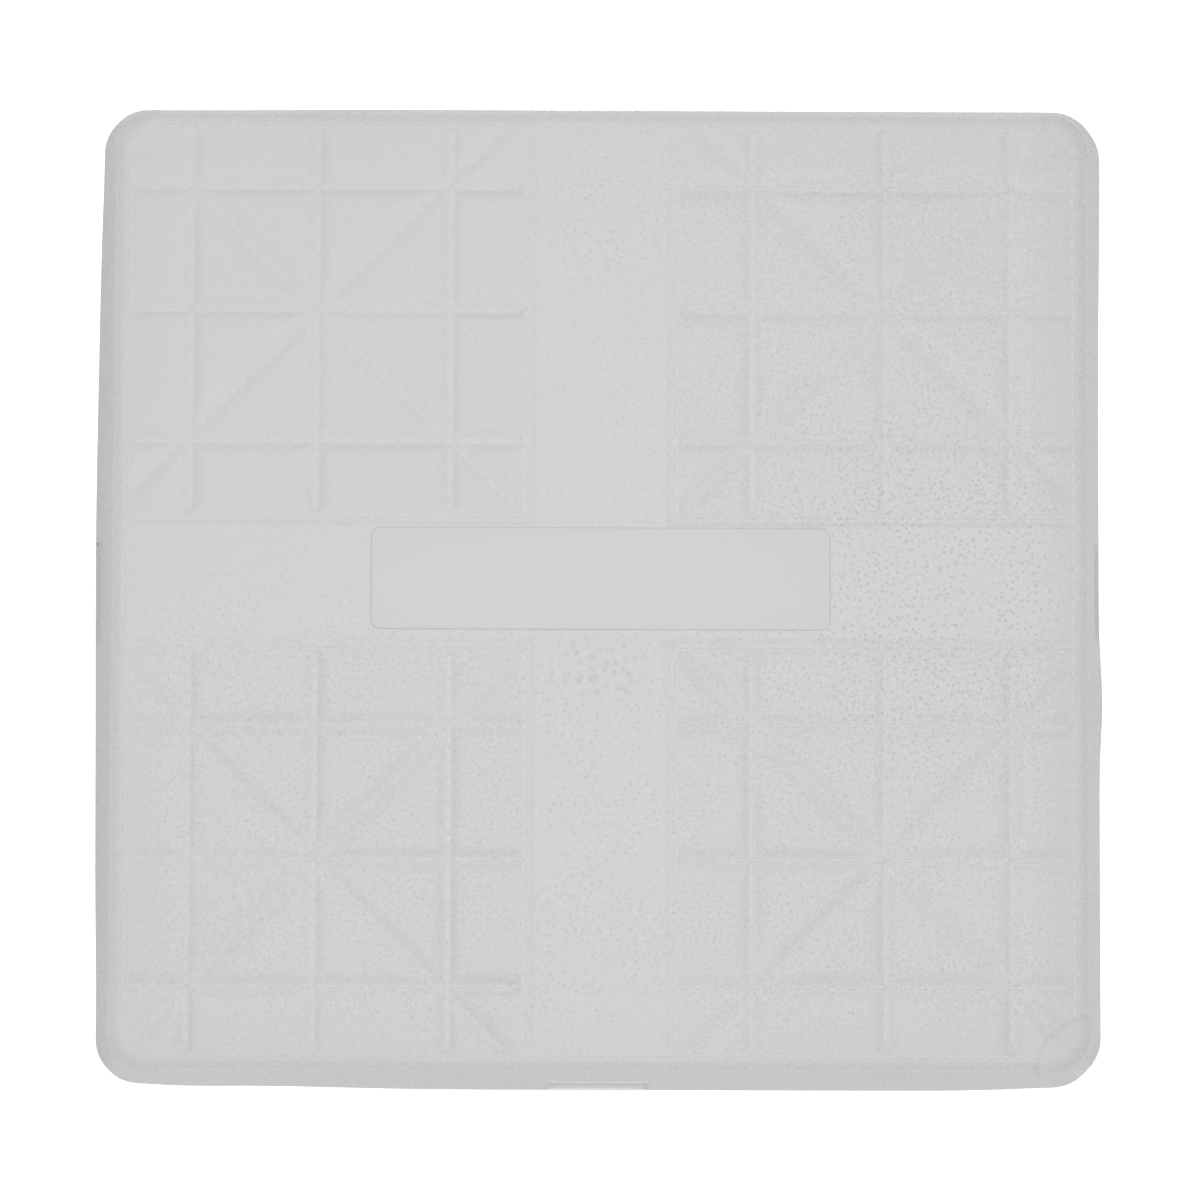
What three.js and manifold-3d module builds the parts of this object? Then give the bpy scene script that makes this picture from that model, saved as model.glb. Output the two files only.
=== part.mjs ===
// Moulded rubber baseball base on a square ground stanchion, in millimetres, +Z up.
// The origin is the centre of the base in the plane of the ground. Front is -Y and left is -X.
import * as THREE from "three";
import { mergeVertices } from "three/addons/utils/BufferGeometryUtils.js";
import Module from "manifold-3d";

const wasm = await Module();
wasm.setup();

// Outside of the moulded cover
const BASE_WIDTH = 381; // along X at the ground: the regulation fifteen inches
const BASE_HEIGHT = 76.2; // ground to the quilted top: three inches
const WALL_DRAFT = 11; // degrees that the side walls lean in
const EDGE_RADIUS = 5.1; // round between a wall and the top
const CORNER_RADIUS = 19.5; // in plan at the ground
const TOP_CORNER_RADIUS = 12; // in plan where the top edge starts to round
const LONG_STRAP_WIDTH = 50.8; // strap that runs along Y
const CROSS_STRAP_WIDTH = 44.45; // strap that runs along X

// Quilting of the four square quadrants, measured from the strap edges
const SEAM_INNER = 29.3;
const SEAM_MIDDLE = 77.7;
const SEAM_OUTER = 123.3;
const SEAM_WIDTH = 12; // the whole soft valley
const SEAM_DEPTH = 1.9;
const SLANT_SEAM_DEPTH = 1.5;
const EDGE_GROOVE_WIDTH = 3.6; // along the straps and round the border of the top
const EDGE_GROOVE_DEPTH = 0.9;

// Bare plate on the crossing of the straps
const PLATE_LENGTH = 166;
const PLATE_WIDTH = 37;
const PLATE_RADIUS = 3;
const PLATE_RISE = 0.8;
const PLATE_SHIFT = 1.4; // towards the rear

// Raised patch on each corner, a disc that leans in with the corner
const PATCH_RADIUS = 23.5;
const PATCH_RISE = 0.6;
const PATCH_FOOT = 9; // height of its lower edge
const PATCH_GROUND_INSET = 0.5; // ground outline to the disc's centre, both ways, at the ground
const PATCH_TOP_INSET = 10; // the same at the height of the top

// Sunk panel in the middle of each wall
const PANEL_WIDTH = 36;
const PANEL_HEIGHT = 27;
const PANEL_FOOT = 3; // height of its lower edge
const PANEL_RADIUS = 4;
const PANEL_DEPTH = 1.2;

// Inside of the cover
const TOP_WALL = 12;
const SIDE_WALL = 10;
const RIM_LIP = 6; // wall left round the closing sheet
const RIB_THICKNESS = 10;
const BOLT_BOSS_DIAMETER = 36;
const SCREW_BOSS_DIAMETER = 22;
const SCREW_INSET = 24; // ground outline to the centres of the screw bosses

// Steel stanchion
const FLANGE_SIDE = 152.4;
const FLANGE_THICKNESS = 6.35; // the closing sheet is as thick and lies flush with it
const FLANGE_RADIUS = 10;
const FLANGE_LIFT = 2; // ground to the underside of flange and sheet
const POST_SIDE = 38.1; // one and a half inch square tube
const POST_WALL = 3.05;
const POST_RADIUS = 4.6;
const POST_REACH = 127; // below the ground
const POST_HEADROOM = 14; // post's top to the underside of the cover's top wall
const GUSSET_LEG = 34;
const GUSSET_THICKNESS = 6;
const GUSSET_DROP = 8; // post's top to the gusset's top
const GUSSET_TOE = 6; // square end of each leg
const GUSSET_RELIEF = 7; // cut corner over the weld at the post's foot

// Fasteners
const BOLT_DIAMETER = 10;
const BOLT_HEAD_DIAMETER = 20;
const BOLT_SOCKET = 6; // across flats
const BOLT_EDGE = 18.2; // flange's edge to the bolts' centres
const BOLT_INSERT_DIAMETER = 16;
const BOLT_INSERT_LENGTH = 30;
const SCREW_DIAMETER = 6;
const SCREW_HEAD_DIAMETER = 12;
const SCREW_SOCKET = 4; // across flats
const SCREW_INSERT_DIAMETER = 11;
const SCREW_INSERT_LENGTH = 22;
const HEAD_LIP = 0.6; // straight edge of a countersunk head
const HEAD_SINK = 0.3; // head's face above the underside that it sits in
const TIP_CHAMFER = 1;
const INSERT_GROOVE_DEPTH = 0.8;
const INSERT_GROOVE_WIDTH = 6;

// Clearances and facets
const SEAT_GAP = 0.3; // between pieces that rest on each other
const HOLE_CLEARANCE = 0.5; // round a bolt or screw, on the radius
const FOAM_GAP = 0.4; // between a filler block and the cover
const OVERCUT = 1; // how far a cutter passes the face that it opens
const MERGE_DISTANCE = 1e-4;
const CORNER_STEPS = 4; // halves of a plan corner's facets
const EDGE_STEPS = 5; // facets round the top edge
const BOSS_SIDES = 20;
const FASTENER_SIDES = 12;

// Sizes that follow from the driving ones
const draft = THREE.MathUtils.degToRad(WALL_DRAFT);
const edgeInset = BASE_HEIGHT * Math.tan(draft) + (EDGE_RADIUS * (1 - Math.sin(draft))) / Math.cos(draft);
const quadrantSide = (BASE_WIDTH - LONG_STRAP_WIDTH) / 2 - edgeInset;
const halfX = BASE_WIDTH / 2;
const halfY = quadrantSide + edgeInset + CROSS_STRAP_WIDTH / 2;
const seatTop = FLANGE_LIFT + FLANGE_THICKNESS;
const footZ = seatTop + SEAT_GAP;
const cavityTop = BASE_HEIGHT - TOP_WALL;
const postTop = cavityTop - POST_HEADROOM;
const postHalf = POST_SIDE / 2;
const boltHalf = FLANGE_SIDE / 2 - BOLT_EDGE;
const ribStart = postHalf + GUSSET_LEG + 2 * SEAT_GAP;
const boltPlaces = [
  { name: "front_left", x: -boltHalf, y: -boltHalf },
  { name: "front_right", x: boltHalf, y: -boltHalf },
  { name: "rear_left", x: -boltHalf, y: boltHalf },
  { name: "rear_right", x: boltHalf, y: boltHalf },
];
const screwX = halfX - SCREW_INSET;
const screwY = halfY - SCREW_INSET;
const screwPlaces = [
  { name: "front_left", x: -screwX, y: -screwY },
  { name: "front", x: 0, y: -screwY },
  { name: "front_right", x: screwX, y: -screwY },
  { name: "left", x: -screwX, y: 0 },
  { name: "right", x: screwX, y: 0 },
  { name: "rear_left", x: -screwX, y: screwY },
  { name: "rear", x: 0, y: screwY },
  { name: "rear_right", x: screwX, y: screwY },
];
const quadrants = [
  { name: "front_left", x: -1, y: -1 },
  { name: "front_right", x: 1, y: -1 },
  { name: "rear_left", x: -1, y: 1 },
  { name: "rear_right", x: 1, y: 1 },
];

// Finishes
const whiteRubber = { color: 0xe6e5e2, roughness: 0.62, metalness: 0 };
const blackSheet = { color: 0x26272a, roughness: 0.75, metalness: 0 };
const foam = { color: 0xd9d3bf, roughness: 0.95, metalness: 0 };
const zincSteel = { color: 0xa9adb0, roughness: 0.42, metalness: 1 };
const boltSteel = { color: 0xb9bcc0, roughness: 0.3, metalness: 1 };
const brass = { color: 0xb08d4a, roughness: 0.35, metalness: 1 };

// A closed geometry as a solid that can be joined and cut
function solidOf(geometry) {
  const bare = geometry.clone();
  bare.deleteAttribute("normal");
  bare.deleteAttribute("uv");
  const merged = mergeVertices(bare, MERGE_DISTANCE);
  const vertProperties = merged.attributes.position.array;
  const triVerts = new Uint32Array(merged.index.array);
  return new wasm.Manifold(new wasm.Mesh({ numProp: 3, vertProperties, triVerts }));
}

// A solid back as a geometry
function geometryOf(solid) {
  const made = solid.getMesh();
  const geometry = new THREE.BufferGeometry();
  geometry.setAttribute("position", new THREE.BufferAttribute(made.vertProperties, made.numProp));
  geometry.setIndex(new THREE.BufferAttribute(made.triVerts, 1));
  geometry.computeVertexNormals();
  return geometry;
}

function joined(solids) {
  return solids.reduce((all, solid) => all.add(solid));
}

function cutAway(body, cutters) {
  return cutters.reduce((left, cutter) => left.subtract(cutter), body);
}

// A rectangle with round corners, anticlockwise
function roundedRectangle(reachX, reachY, radius) {
  const x = reachX - radius;
  const y = reachY - radius;
  const shape = new THREE.Shape();
  shape.absarc(x, -y, radius, -Math.PI / 2, 0);
  shape.absarc(x, y, radius, 0, Math.PI / 2);
  shape.absarc(-x, y, radius, Math.PI / 2, Math.PI);
  shape.absarc(-x, -y, radius, Math.PI, 1.5 * Math.PI);
  return shape;
}

// A shape raised from one height to another
function slab(shape, bottom, top) {
  const settings = { depth: top - bottom, bevelEnabled: false, curveSegments: CORNER_STEPS };
  return new THREE.ExtrudeGeometry(shape, settings).translate(0, 0, bottom);
}

// A block between two opposite corners, given in any order
function block(fromX, fromY, fromZ, toX, toY, toZ) {
  const box = new THREE.BoxGeometry(Math.abs(toX - fromX), Math.abs(toY - fromY), Math.abs(toZ - fromZ));
  box.translate((fromX + toX) / 2, (fromY + toY) / 2, (fromZ + toZ) / 2);
  return solidOf(box);
}

// A closed profile of [radius, height] pairs turned about an upright axis
function turned(profile, sides) {
  const points = profile.map(([radius, height]) => new THREE.Vector2(radius, height));
  return new THREE.LatheGeometry(points, sides).rotateX(Math.PI / 2);
}

// An upright round bar about a place in plan
function roundBar(place, radius, bottom, top) {
  const profile = [[0, bottom], [radius, bottom], [radius, top], [0, top]];
  return solidOf(turned(profile, BOSS_SIDES).translate(place.x, place.y, 0));
}

// A skin through sections of equal counts of points, capped at both ends
function loft(sections) {
  const count = sections[0].points.length;
  const positions = sections.flatMap(({ points, z }) => points.flatMap((point) => [point.x, point.y, z]));
  const indices = [];
  for (let ring = 0; ring < sections.length - 1; ring++) {
    for (let i = 0; i < count; i++) {
      const a = ring * count + i;
      const b = ring * count + ((i + 1) % count);
      indices.push(a, b, b + count, a, b + count, a + count);
    }
  }
  const top = (sections.length - 1) * count;
  for (const [a, b, c] of THREE.ShapeUtils.triangulateShape(sections[0].points, [])) {
    indices.push(a, c, b, top + a, top + b, top + c);
  }
  const geometry = new THREE.BufferGeometry();
  geometry.setAttribute("position", new THREE.Float32BufferAttribute(positions, 3));
  geometry.setIndex(indices);
  return solidOf(geometry);
}

// The ground outline drawn in by an inset, at a height
function planSection(inset, z) {
  const share = THREE.MathUtils.clamp(inset / edgeInset, 0, 1);
  const radius = THREE.MathUtils.lerp(CORNER_RADIUS, TOP_CORNER_RADIUS, share);
  const shape = roundedRectangle(halfX - inset, halfY - inset, radius);
  return { points: shape.getPoints(CORNER_STEPS), z };
}

// The cover's outside: leaning walls and a round top edge, grown outwards by a rise
function outerForm(rise) {
  const sections = [planSection(-rise / Math.cos(draft), 0)];
  const radius = EDGE_RADIUS + rise;
  for (let step = 0; step <= EDGE_STEPS; step++) {
    const angle = THREE.MathUtils.lerp(draft, Math.PI / 2, step / EDGE_STEPS);
    const inset = edgeInset - radius * Math.cos(angle);
    sections.push(planSection(inset, BASE_HEIGHT - EDGE_RADIUS + radius * Math.sin(angle)));
  }
  return loft(sections);
}

// The hollow above the closing sheet, open below and made smaller all round by a gap
function hollow(gap) {
  const wall = SIDE_WALL / Math.cos(draft) + gap;
  const bottom = footZ - OVERCUT;
  const top = cavityTop - gap;
  return loft([
    planSection(wall + bottom * Math.tan(draft), bottom),
    planSection(wall + top * Math.tan(draft), top),
  ]);
}

// The place of the closing sheet inside the rim, made smaller all round by a gap
function rimSection(gap) {
  const inset = RIM_LIP + gap;
  return roundedRectangle(halfX - inset, halfY - inset, CORNER_RADIUS - inset);
}

// A long bar with the section of a valley, lying along a direction in plan through a point
function valleyBar(width, depth, point, angle) {
  const half = width / 2;
  const section = new THREE.Shape([
    new THREE.Vector2(-half, OVERCUT),
    new THREE.Vector2(-half, 0),
    new THREE.Vector2(0, -depth),
    new THREE.Vector2(half, 0),
    new THREE.Vector2(half, OVERCUT),
  ]);
  const length = 2 * BASE_WIDTH;
  const bar = new THREE.ExtrudeGeometry(section, { depth: length, bevelEnabled: false });
  bar.translate(0, 0, -length / 2);
  bar.rotateX(Math.PI / 2);
  bar.rotateZ(angle - Math.PI / 2);
  return solidOf(bar.translate(point.x, point.y, BASE_HEIGHT));
}

// The quilt of one quadrant: three seams each way and two on the slant through its middle.
// The seams run out into the grooves round the quadrant.
function quiltCutter(quadrant) {
  const innerX = LONG_STRAP_WIDTH / 2;
  const innerY = CROSS_STRAP_WIDTH / 2;
  const at = (x, y) => ({ x: quadrant.x * (innerX + x), y: quadrant.y * (innerY + y) });
  const bars = [];
  for (const offset of [SEAM_INNER, SEAM_MIDDLE, SEAM_OUTER]) {
    for (const angle of [0, Math.PI / 2]) {
      bars.push(valleyBar(SEAM_WIDTH, SEAM_DEPTH, at(offset, offset), angle));
    }
  }
  for (const angle of [Math.PI / 4, -Math.PI / 4]) {
    bars.push(valleyBar(SEAM_WIDTH, SLANT_SEAM_DEPTH, at(SEAM_MIDDLE, SEAM_MIDDLE), angle));
  }
  return joined(bars).intersect(quadrantBlock(quadrant, EDGE_GROOVE_WIDTH / 4));
}

// The square of one quadrant's quilting, grown in plan
function quadrantBlock(quadrant, grow) {
  const nearX = LONG_STRAP_WIDTH / 2 - grow;
  const nearY = CROSS_STRAP_WIDTH / 2 - grow;
  const farX = nearX + quadrantSide + 2 * grow;
  const farY = nearY + quadrantSide + 2 * grow;
  const top = BASE_HEIGHT + 2 * OVERCUT;
  const { x, y } = quadrant;
  return block(x * nearX, y * nearY, cavityTop, x * farX, y * farY, top);
}

// A narrow groove through a point
function edgeGroove(point, angle) {
  return valleyBar(EDGE_GROOVE_WIDTH, EDGE_GROOVE_DEPTH, point, angle);
}

// The grooves between one quadrant and the two straps beside it
function strapGrooves(quadrant) {
  const corner = { x: (quadrant.x * LONG_STRAP_WIDTH) / 2, y: (quadrant.y * CROSS_STRAP_WIDTH) / 2 };
  const bars = edgeGroove(corner, 0).add(edgeGroove(corner, Math.PI / 2));
  return bars.intersect(quadrantBlock(quadrant, EDGE_GROOVE_WIDTH / 2));
}

// The groove round the whole top, where the edge starts to round
function borderGroove() {
  const borderX = halfX - edgeInset;
  const borderY = halfY - edgeInset;
  const bars = [1, -1].flatMap((side) => [
    edgeGroove({ x: side * borderX, y: 0 }, Math.PI / 2),
    edgeGroove({ x: 0, y: side * borderY }, 0),
  ]);
  const reach = EDGE_GROOVE_WIDTH / 2;
  const top = BASE_HEIGHT + 2 * OVERCUT;
  const x = borderX + reach;
  const y = borderY + reach;
  return joined(bars).intersect(block(-x, -y, cavityTop, x, y, top));
}

// The plug that sinks a panel into the front wall, leaning with it
function wallPanelCutter(reach) {
  const shape = roundedRectangle(PANEL_WIDTH / 2, PANEL_HEIGHT / 2, PANEL_RADIUS);
  const plug = slab(shape, -PANEL_DEPTH, PANEL_DEPTH);
  plug.rotateX(Math.PI / 2 - draft);
  const middle = PANEL_FOOT + PANEL_HEIGHT / 2;
  return plug.translate(0, -(reach - middle * Math.tan(draft)), middle);
}

function wallPanelCutters() {
  return [0, 1, 2, 3].map((turn) => {
    const reach = turn % 2 ? halfX : halfY;
    return solidOf(wallPanelCutter(reach).rotateZ((turn * Math.PI) / 2));
  });
}

// The ribs on the straps' centre lines, from the stanchion's gussets out to the walls
function ribs() {
  const half = RIB_THICKNESS / 2;
  return [
    block(ribStart, -half, footZ, halfX, half, cavityTop),
    block(-halfX, -half, footZ, -ribStart, half, cavityTop),
    block(-half, ribStart, footZ, half, halfY, cavityTop),
    block(-half, -halfY, footZ, half, -ribStart, cavityTop),
  ];
}

// A screw boss with the webs that tie it to the walls beside it, thickened by a gap
function screwBoss(place, gap) {
  const radius = SCREW_BOSS_DIAMETER / 2 + gap;
  const wallX = Math.sign(place.x) * halfX;
  const wallY = Math.sign(place.y) * halfY;
  const solids = [roundBar(place, radius, footZ, cavityTop)];
  if (place.x) {
    solids.push(block(place.x, place.y - radius, footZ, wallX, place.y + radius, cavityTop));
  }
  if (place.y) {
    solids.push(block(place.x - radius, place.y, footZ, place.x + radius, wallY, cavityTop));
  }
  if (place.x && place.y) {
    solids.push(block(place.x, place.y, footZ, wallX, wallY, cavityTop));
  }
  return joined(solids);
}

// The bosses of all inserts, thickened by a gap
function bosses(gap) {
  const radius = BOLT_BOSS_DIAMETER / 2 + gap;
  const boltBosses = boltPlaces.map((place) => roundBar(place, radius, footZ, cavityTop));
  return [...boltBosses, ...screwPlaces.map((place) => screwBoss(place, gap))];
}

// The blind holes that take the inserts
function insertHoles() {
  const hole = (place, diameter, length) =>
    roundBar(place, diameter / 2 + SEAT_GAP, footZ - OVERCUT, footZ + length + SEAT_GAP);
  return [
    ...boltPlaces.map((place) => hole(place, BOLT_INSERT_DIAMETER, BOLT_INSERT_LENGTH)),
    ...screwPlaces.map((place) => hole(place, SCREW_INSERT_DIAMETER, SCREW_INSERT_LENGTH)),
  ];
}

// The leaning disc of one corner's patch
function patchDisc(corner) {
  const section = (z) => {
    const inset = THREE.MathUtils.mapLinear(z, 0, BASE_HEIGHT, PATCH_GROUND_INSET, PATCH_TOP_INSET);
    const x = corner.x * (halfX - inset);
    const y = corner.y * (halfY - inset);
    const circle = new THREE.EllipseCurve(x, y, PATCH_RADIUS, PATCH_RADIUS);
    return { points: circle.getPoints(BOSS_SIDES).slice(0, -1), z };
  };
  return loft([section(PATCH_FOOT), section(BASE_HEIGHT + 2 * PATCH_RISE)]);
}

function cornerPatches() {
  return joined(quadrants.map(patchDisc)).intersect(outerForm(PATCH_RISE));
}

function rubberCover() {
  const plate = roundedRectangle(PLATE_LENGTH / 2, PLATE_WIDTH / 2, PLATE_RADIUS);
  const raised = slab(plate, BASE_HEIGHT - OVERCUT, BASE_HEIGHT + PLATE_RISE).translate(0, PLATE_SHIFT, 0);
  const quilting = [
    ...quadrants.map(quiltCutter),
    ...quadrants.map(strapGrooves),
    borderGroove(),
    ...wallPanelCutters(),
  ];
  const outside = cutAway(outerForm(0), quilting).add(cornerPatches()).add(solidOf(raised));
  const pocket = hollow(0).subtract(joined([...ribs(), ...bosses(0)]));
  const rebate = solidOf(slab(rimSection(0), -OVERCUT, footZ));
  const inside = [
    rebate,
    pocket,
    ...insertHoles(),
    ...fastenerHoles(boltPlaces, BOLT_DIAMETER, BOLT_HEAD_DIAMETER),
    ...fastenerHoles(screwPlaces, SCREW_DIAMETER, SCREW_HEAD_DIAMETER),
  ];
  return geometryOf(cutAway(outside, inside));
}

// The filler block of one pocket, cut round the bosses and the post
function foamPad(quadrant) {
  const near = RIB_THICKNESS / 2 + FOAM_GAP;
  const { x, y } = quadrant;
  const corner = block(x * near, y * near, footZ, x * halfX, y * halfY, cavityTop);
  const pocket = hollow(FOAM_GAP).intersect(corner);
  const room = postHalf + FOAM_GAP;
  const post = block(-room, -room, footZ - OVERCUT, room, room, cavityTop + OVERCUT);
  return geometryOf(pocket.subtract(joined([post, ...bosses(FOAM_GAP)])));
}

// Radii and heights of a countersunk head that points down, grown on the radius by a clearance
function headSizes(diameter, headDiameter, clearance) {
  const shank = diameter / 2 + clearance;
  const head = headDiameter / 2 + clearance;
  const face = FLANGE_LIFT + HEAD_SINK;
  const coneStart = face + HEAD_LIP;
  return { shank, head, face, coneStart, coneEnd: coneStart + head - shank };
}

// The clear hole for a countersunk fastener through the flange or the sheet, on the Z axis
function fastenerHole(diameter, headDiameter) {
  const { shank, head, coneStart, coneEnd } = headSizes(diameter, headDiameter, HOLE_CLEARANCE);
  const bottom = FLANGE_LIFT - OVERCUT;
  const top = Math.max(seatTop, coneEnd) + SEAT_GAP / 2;
  const profile = [[0, bottom], [head, bottom], [head, coneStart], [shank, coneEnd], [shank, top], [0, top]];
  return turned(profile, FASTENER_SIDES);
}

function fastenerHoles(places, diameter, headDiameter) {
  return places.map(({ x, y }) => solidOf(fastenerHole(diameter, headDiameter).translate(x, y, 0)));
}

// A countersunk fastener with a hexagon socket in its head
function fastener(diameter, headDiameter, socket, tip) {
  const { shank, head, face, coneStart, coneEnd } = headSizes(diameter, headDiameter, 0);
  const headProfile = [[0, face], [head, face], [head, coneStart], [shank, coneEnd]];
  const tipProfile = [[shank, tip - TIP_CHAMFER], [shank - TIP_CHAMFER, tip], [0, tip]];
  const body = solidOf(turned([...headProfile, ...tipProfile], FASTENER_SIDES));
  const socketDepth = (headDiameter - diameter) / 2;
  const corner = socket / Math.sqrt(3);
  const key = new THREE.CylinderGeometry(corner, corner, 2 * socketDepth, 6);
  key.rotateX(Math.PI / 2);
  return geometryOf(body.subtract(solidOf(key.translate(0, 0, face))));
}

// A threaded insert: a ring with a groove that keys it into the rubber, open for its fastener's head
function insert(diameter, length, boreDiameter, headDiameter) {
  const outer = diameter / 2;
  const waist = outer - INSERT_GROOVE_DEPTH;
  const bore = boreDiameter / 2 + SEAT_GAP;
  const start = (length - INSERT_GROOVE_WIDTH) / 2;
  const stop = start + INSERT_GROOVE_WIDTH;
  const groove = [[outer, start], [waist, start], [waist, stop], [outer, stop]];
  const profile = [[bore, 0], [outer, 0], ...groove, [outer, length], [bore, length], [bore, 0]];
  const ring = solidOf(turned(profile, FASTENER_SIDES).translate(0, 0, footZ));
  return geometryOf(ring.subtract(solidOf(fastenerHole(boreDiameter, headDiameter))));
}

function bottomSheet() {
  const shape = rimSection(SEAT_GAP);
  const window = FLANGE_SIDE / 2 + SEAT_GAP;
  shape.holes.push(roundedRectangle(window, window, FLANGE_RADIUS + SEAT_GAP));
  const sheet = solidOf(slab(shape, FLANGE_LIFT, seatTop));
  const holes = fastenerHoles(screwPlaces, SCREW_DIAMETER, SCREW_HEAD_DIAMETER);
  return geometryOf(sheet.subtract(joined(holes)));
}

function stanchionFlange() {
  const shape = roundedRectangle(FLANGE_SIDE / 2, FLANGE_SIDE / 2, FLANGE_RADIUS);
  const window = postHalf + SEAT_GAP;
  shape.holes.push(roundedRectangle(window, window, POST_RADIUS + SEAT_GAP));
  const plate = solidOf(slab(shape, FLANGE_LIFT, seatTop));
  const holes = fastenerHoles(boltPlaces, BOLT_DIAMETER, BOLT_HEAD_DIAMETER);
  return geometryOf(plate.subtract(joined(holes)));
}

function stanchionPost() {
  const shape = roundedRectangle(postHalf, postHalf, POST_RADIUS);
  const bore = postHalf - POST_WALL;
  shape.holes.push(roundedRectangle(bore, bore, POST_RADIUS - POST_WALL));
  return slab(shape, -POST_REACH, postTop);
}

// A brace between the flange and the right face of the post
function gusset() {
  const height = postTop - GUSSET_DROP - footZ;
  const outline = new THREE.Shape([
    new THREE.Vector2(GUSSET_RELIEF, 0),
    new THREE.Vector2(GUSSET_LEG, 0),
    new THREE.Vector2(GUSSET_LEG, GUSSET_TOE),
    new THREE.Vector2(GUSSET_TOE, height),
    new THREE.Vector2(0, height),
    new THREE.Vector2(0, GUSSET_RELIEF),
  ]);
  const plate = slab(outline, -GUSSET_THICKNESS / 2, GUSSET_THICKNESS / 2);
  return plate.rotateX(Math.PI / 2).translate(postHalf + SEAT_GAP, 0, footZ);
}

function piece(name, geometry, finish) {
  const mesh = new THREE.Mesh(geometry, new THREE.MeshStandardMaterial(finish));
  mesh.name = name;
  return mesh;
}

// One copy of a fastener or insert for each of its places
function pieces(prefix, places, makeGeometry, finish) {
  return places.map((place) => {
    const mesh = piece(`${prefix}_${place.name}`, makeGeometry(), finish);
    mesh.position.set(place.x, place.y, 0);
    return mesh;
  });
}

const cover = new THREE.Group();
cover.add(piece("rubber_cover", rubberCover(), whiteRubber));
for (const quadrant of quadrants) {
  cover.add(piece(`foam_pad_${quadrant.name}`, foamPad(quadrant), foam));
}
const boltInsert = () =>
  insert(BOLT_INSERT_DIAMETER, BOLT_INSERT_LENGTH, BOLT_DIAMETER, BOLT_HEAD_DIAMETER);
const screwInsert = () =>
  insert(SCREW_INSERT_DIAMETER, SCREW_INSERT_LENGTH, SCREW_DIAMETER, SCREW_HEAD_DIAMETER);
cover.add(...pieces("flange_insert", boltPlaces, boltInsert, brass));
cover.add(...pieces("sheet_insert", screwPlaces, screwInsert, brass));

const stanchion = new THREE.Group();
stanchion.add(piece("stanchion_flange", stanchionFlange(), zincSteel));
stanchion.add(piece("stanchion_post", stanchionPost(), zincSteel));
["right", "rear", "left", "front"].forEach((side, turn) => {
  const brace = piece(`gusset_${side}`, gusset(), zincSteel);
  brace.rotation.z = (turn * Math.PI) / 2;
  stanchion.add(brace);
});

const underside = new THREE.Group();
underside.add(piece("bottom_sheet", bottomSheet(), blackSheet));
const boltTip = footZ + BOLT_INSERT_LENGTH - TIP_CHAMFER;
const screwTip = footZ + SCREW_INSERT_LENGTH - TIP_CHAMFER;
const flangeBolt = () => fastener(BOLT_DIAMETER, BOLT_HEAD_DIAMETER, BOLT_SOCKET, boltTip);
const sheetScrew = () => fastener(SCREW_DIAMETER, SCREW_HEAD_DIAMETER, SCREW_SOCKET, screwTip);
underside.add(...pieces("flange_bolt", boltPlaces, flangeBolt, boltSteel));
underside.add(...pieces("sheet_screw", screwPlaces, sheetScrew, boltSteel));

const base = new THREE.Group();
base.add(cover, stanchion, underside);
export default base;
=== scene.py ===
"""A moulded rubber baseball base on its ground stanchion: the looks, built round the packed frame.

Metres, +Z up. The origin is the centre of the base in the plane of the ground, front is -Y and left is -X.
"""

import math

import bmesh
import bpy
from bpy.props import FloatProperty, FloatVectorProperty, IntProperty, PointerProperty
from mathutils import Matrix, Vector, noise


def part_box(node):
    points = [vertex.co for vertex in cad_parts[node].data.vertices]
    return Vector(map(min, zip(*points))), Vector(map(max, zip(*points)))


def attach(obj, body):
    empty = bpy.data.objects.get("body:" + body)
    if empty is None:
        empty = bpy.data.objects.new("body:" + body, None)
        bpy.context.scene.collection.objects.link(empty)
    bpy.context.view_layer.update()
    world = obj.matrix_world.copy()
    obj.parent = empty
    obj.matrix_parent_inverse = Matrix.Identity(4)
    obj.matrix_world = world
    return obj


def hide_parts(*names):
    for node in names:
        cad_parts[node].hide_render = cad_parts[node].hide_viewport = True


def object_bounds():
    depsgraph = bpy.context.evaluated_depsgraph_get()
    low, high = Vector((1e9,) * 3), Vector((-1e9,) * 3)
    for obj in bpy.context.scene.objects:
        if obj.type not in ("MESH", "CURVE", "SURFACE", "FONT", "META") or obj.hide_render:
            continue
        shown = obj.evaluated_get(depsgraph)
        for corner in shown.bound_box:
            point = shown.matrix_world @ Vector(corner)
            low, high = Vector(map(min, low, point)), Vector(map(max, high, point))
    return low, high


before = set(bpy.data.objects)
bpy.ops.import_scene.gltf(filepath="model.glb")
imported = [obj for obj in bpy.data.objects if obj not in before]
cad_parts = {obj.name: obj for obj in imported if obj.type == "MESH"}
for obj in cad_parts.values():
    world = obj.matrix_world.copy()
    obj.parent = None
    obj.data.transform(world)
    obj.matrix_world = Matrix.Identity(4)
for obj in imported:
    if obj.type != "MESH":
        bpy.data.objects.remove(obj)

bl_info = {
    "name": "Baseball Base",
    "version": (1, 0, 0),
    "blender": (4, 5, 0),
    "location": "View3D > Sidebar > Base",
    "description": "Quilted rubber cover, stitching, plate, foam, stanchion, fasteners and stage",
    "category": "Add Mesh",
}

# Facts of the packed frame
CAD_LOW, CAD_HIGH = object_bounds()
COVER_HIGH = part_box("rubber_cover")[1]
POST_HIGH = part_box("stanchion_post")[1]
FLANGE_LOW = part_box("stanchion_flange")[0]
BODY = "root"
WALLS = {"right": (1, 0), "rear": (0, 1), "left": (-1, 0), "front": (0, -1)}
CORNERS = {"front_left": (-1, -1), "front_right": (1, -1), "rear_left": (-1, 1), "rear_right": (1, 1)}


def length(name, description, default):
    """A size in metres that a user can change."""
    return FloatProperty(name=name, description=description, default=default, unit="LENGTH", precision=5)


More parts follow.
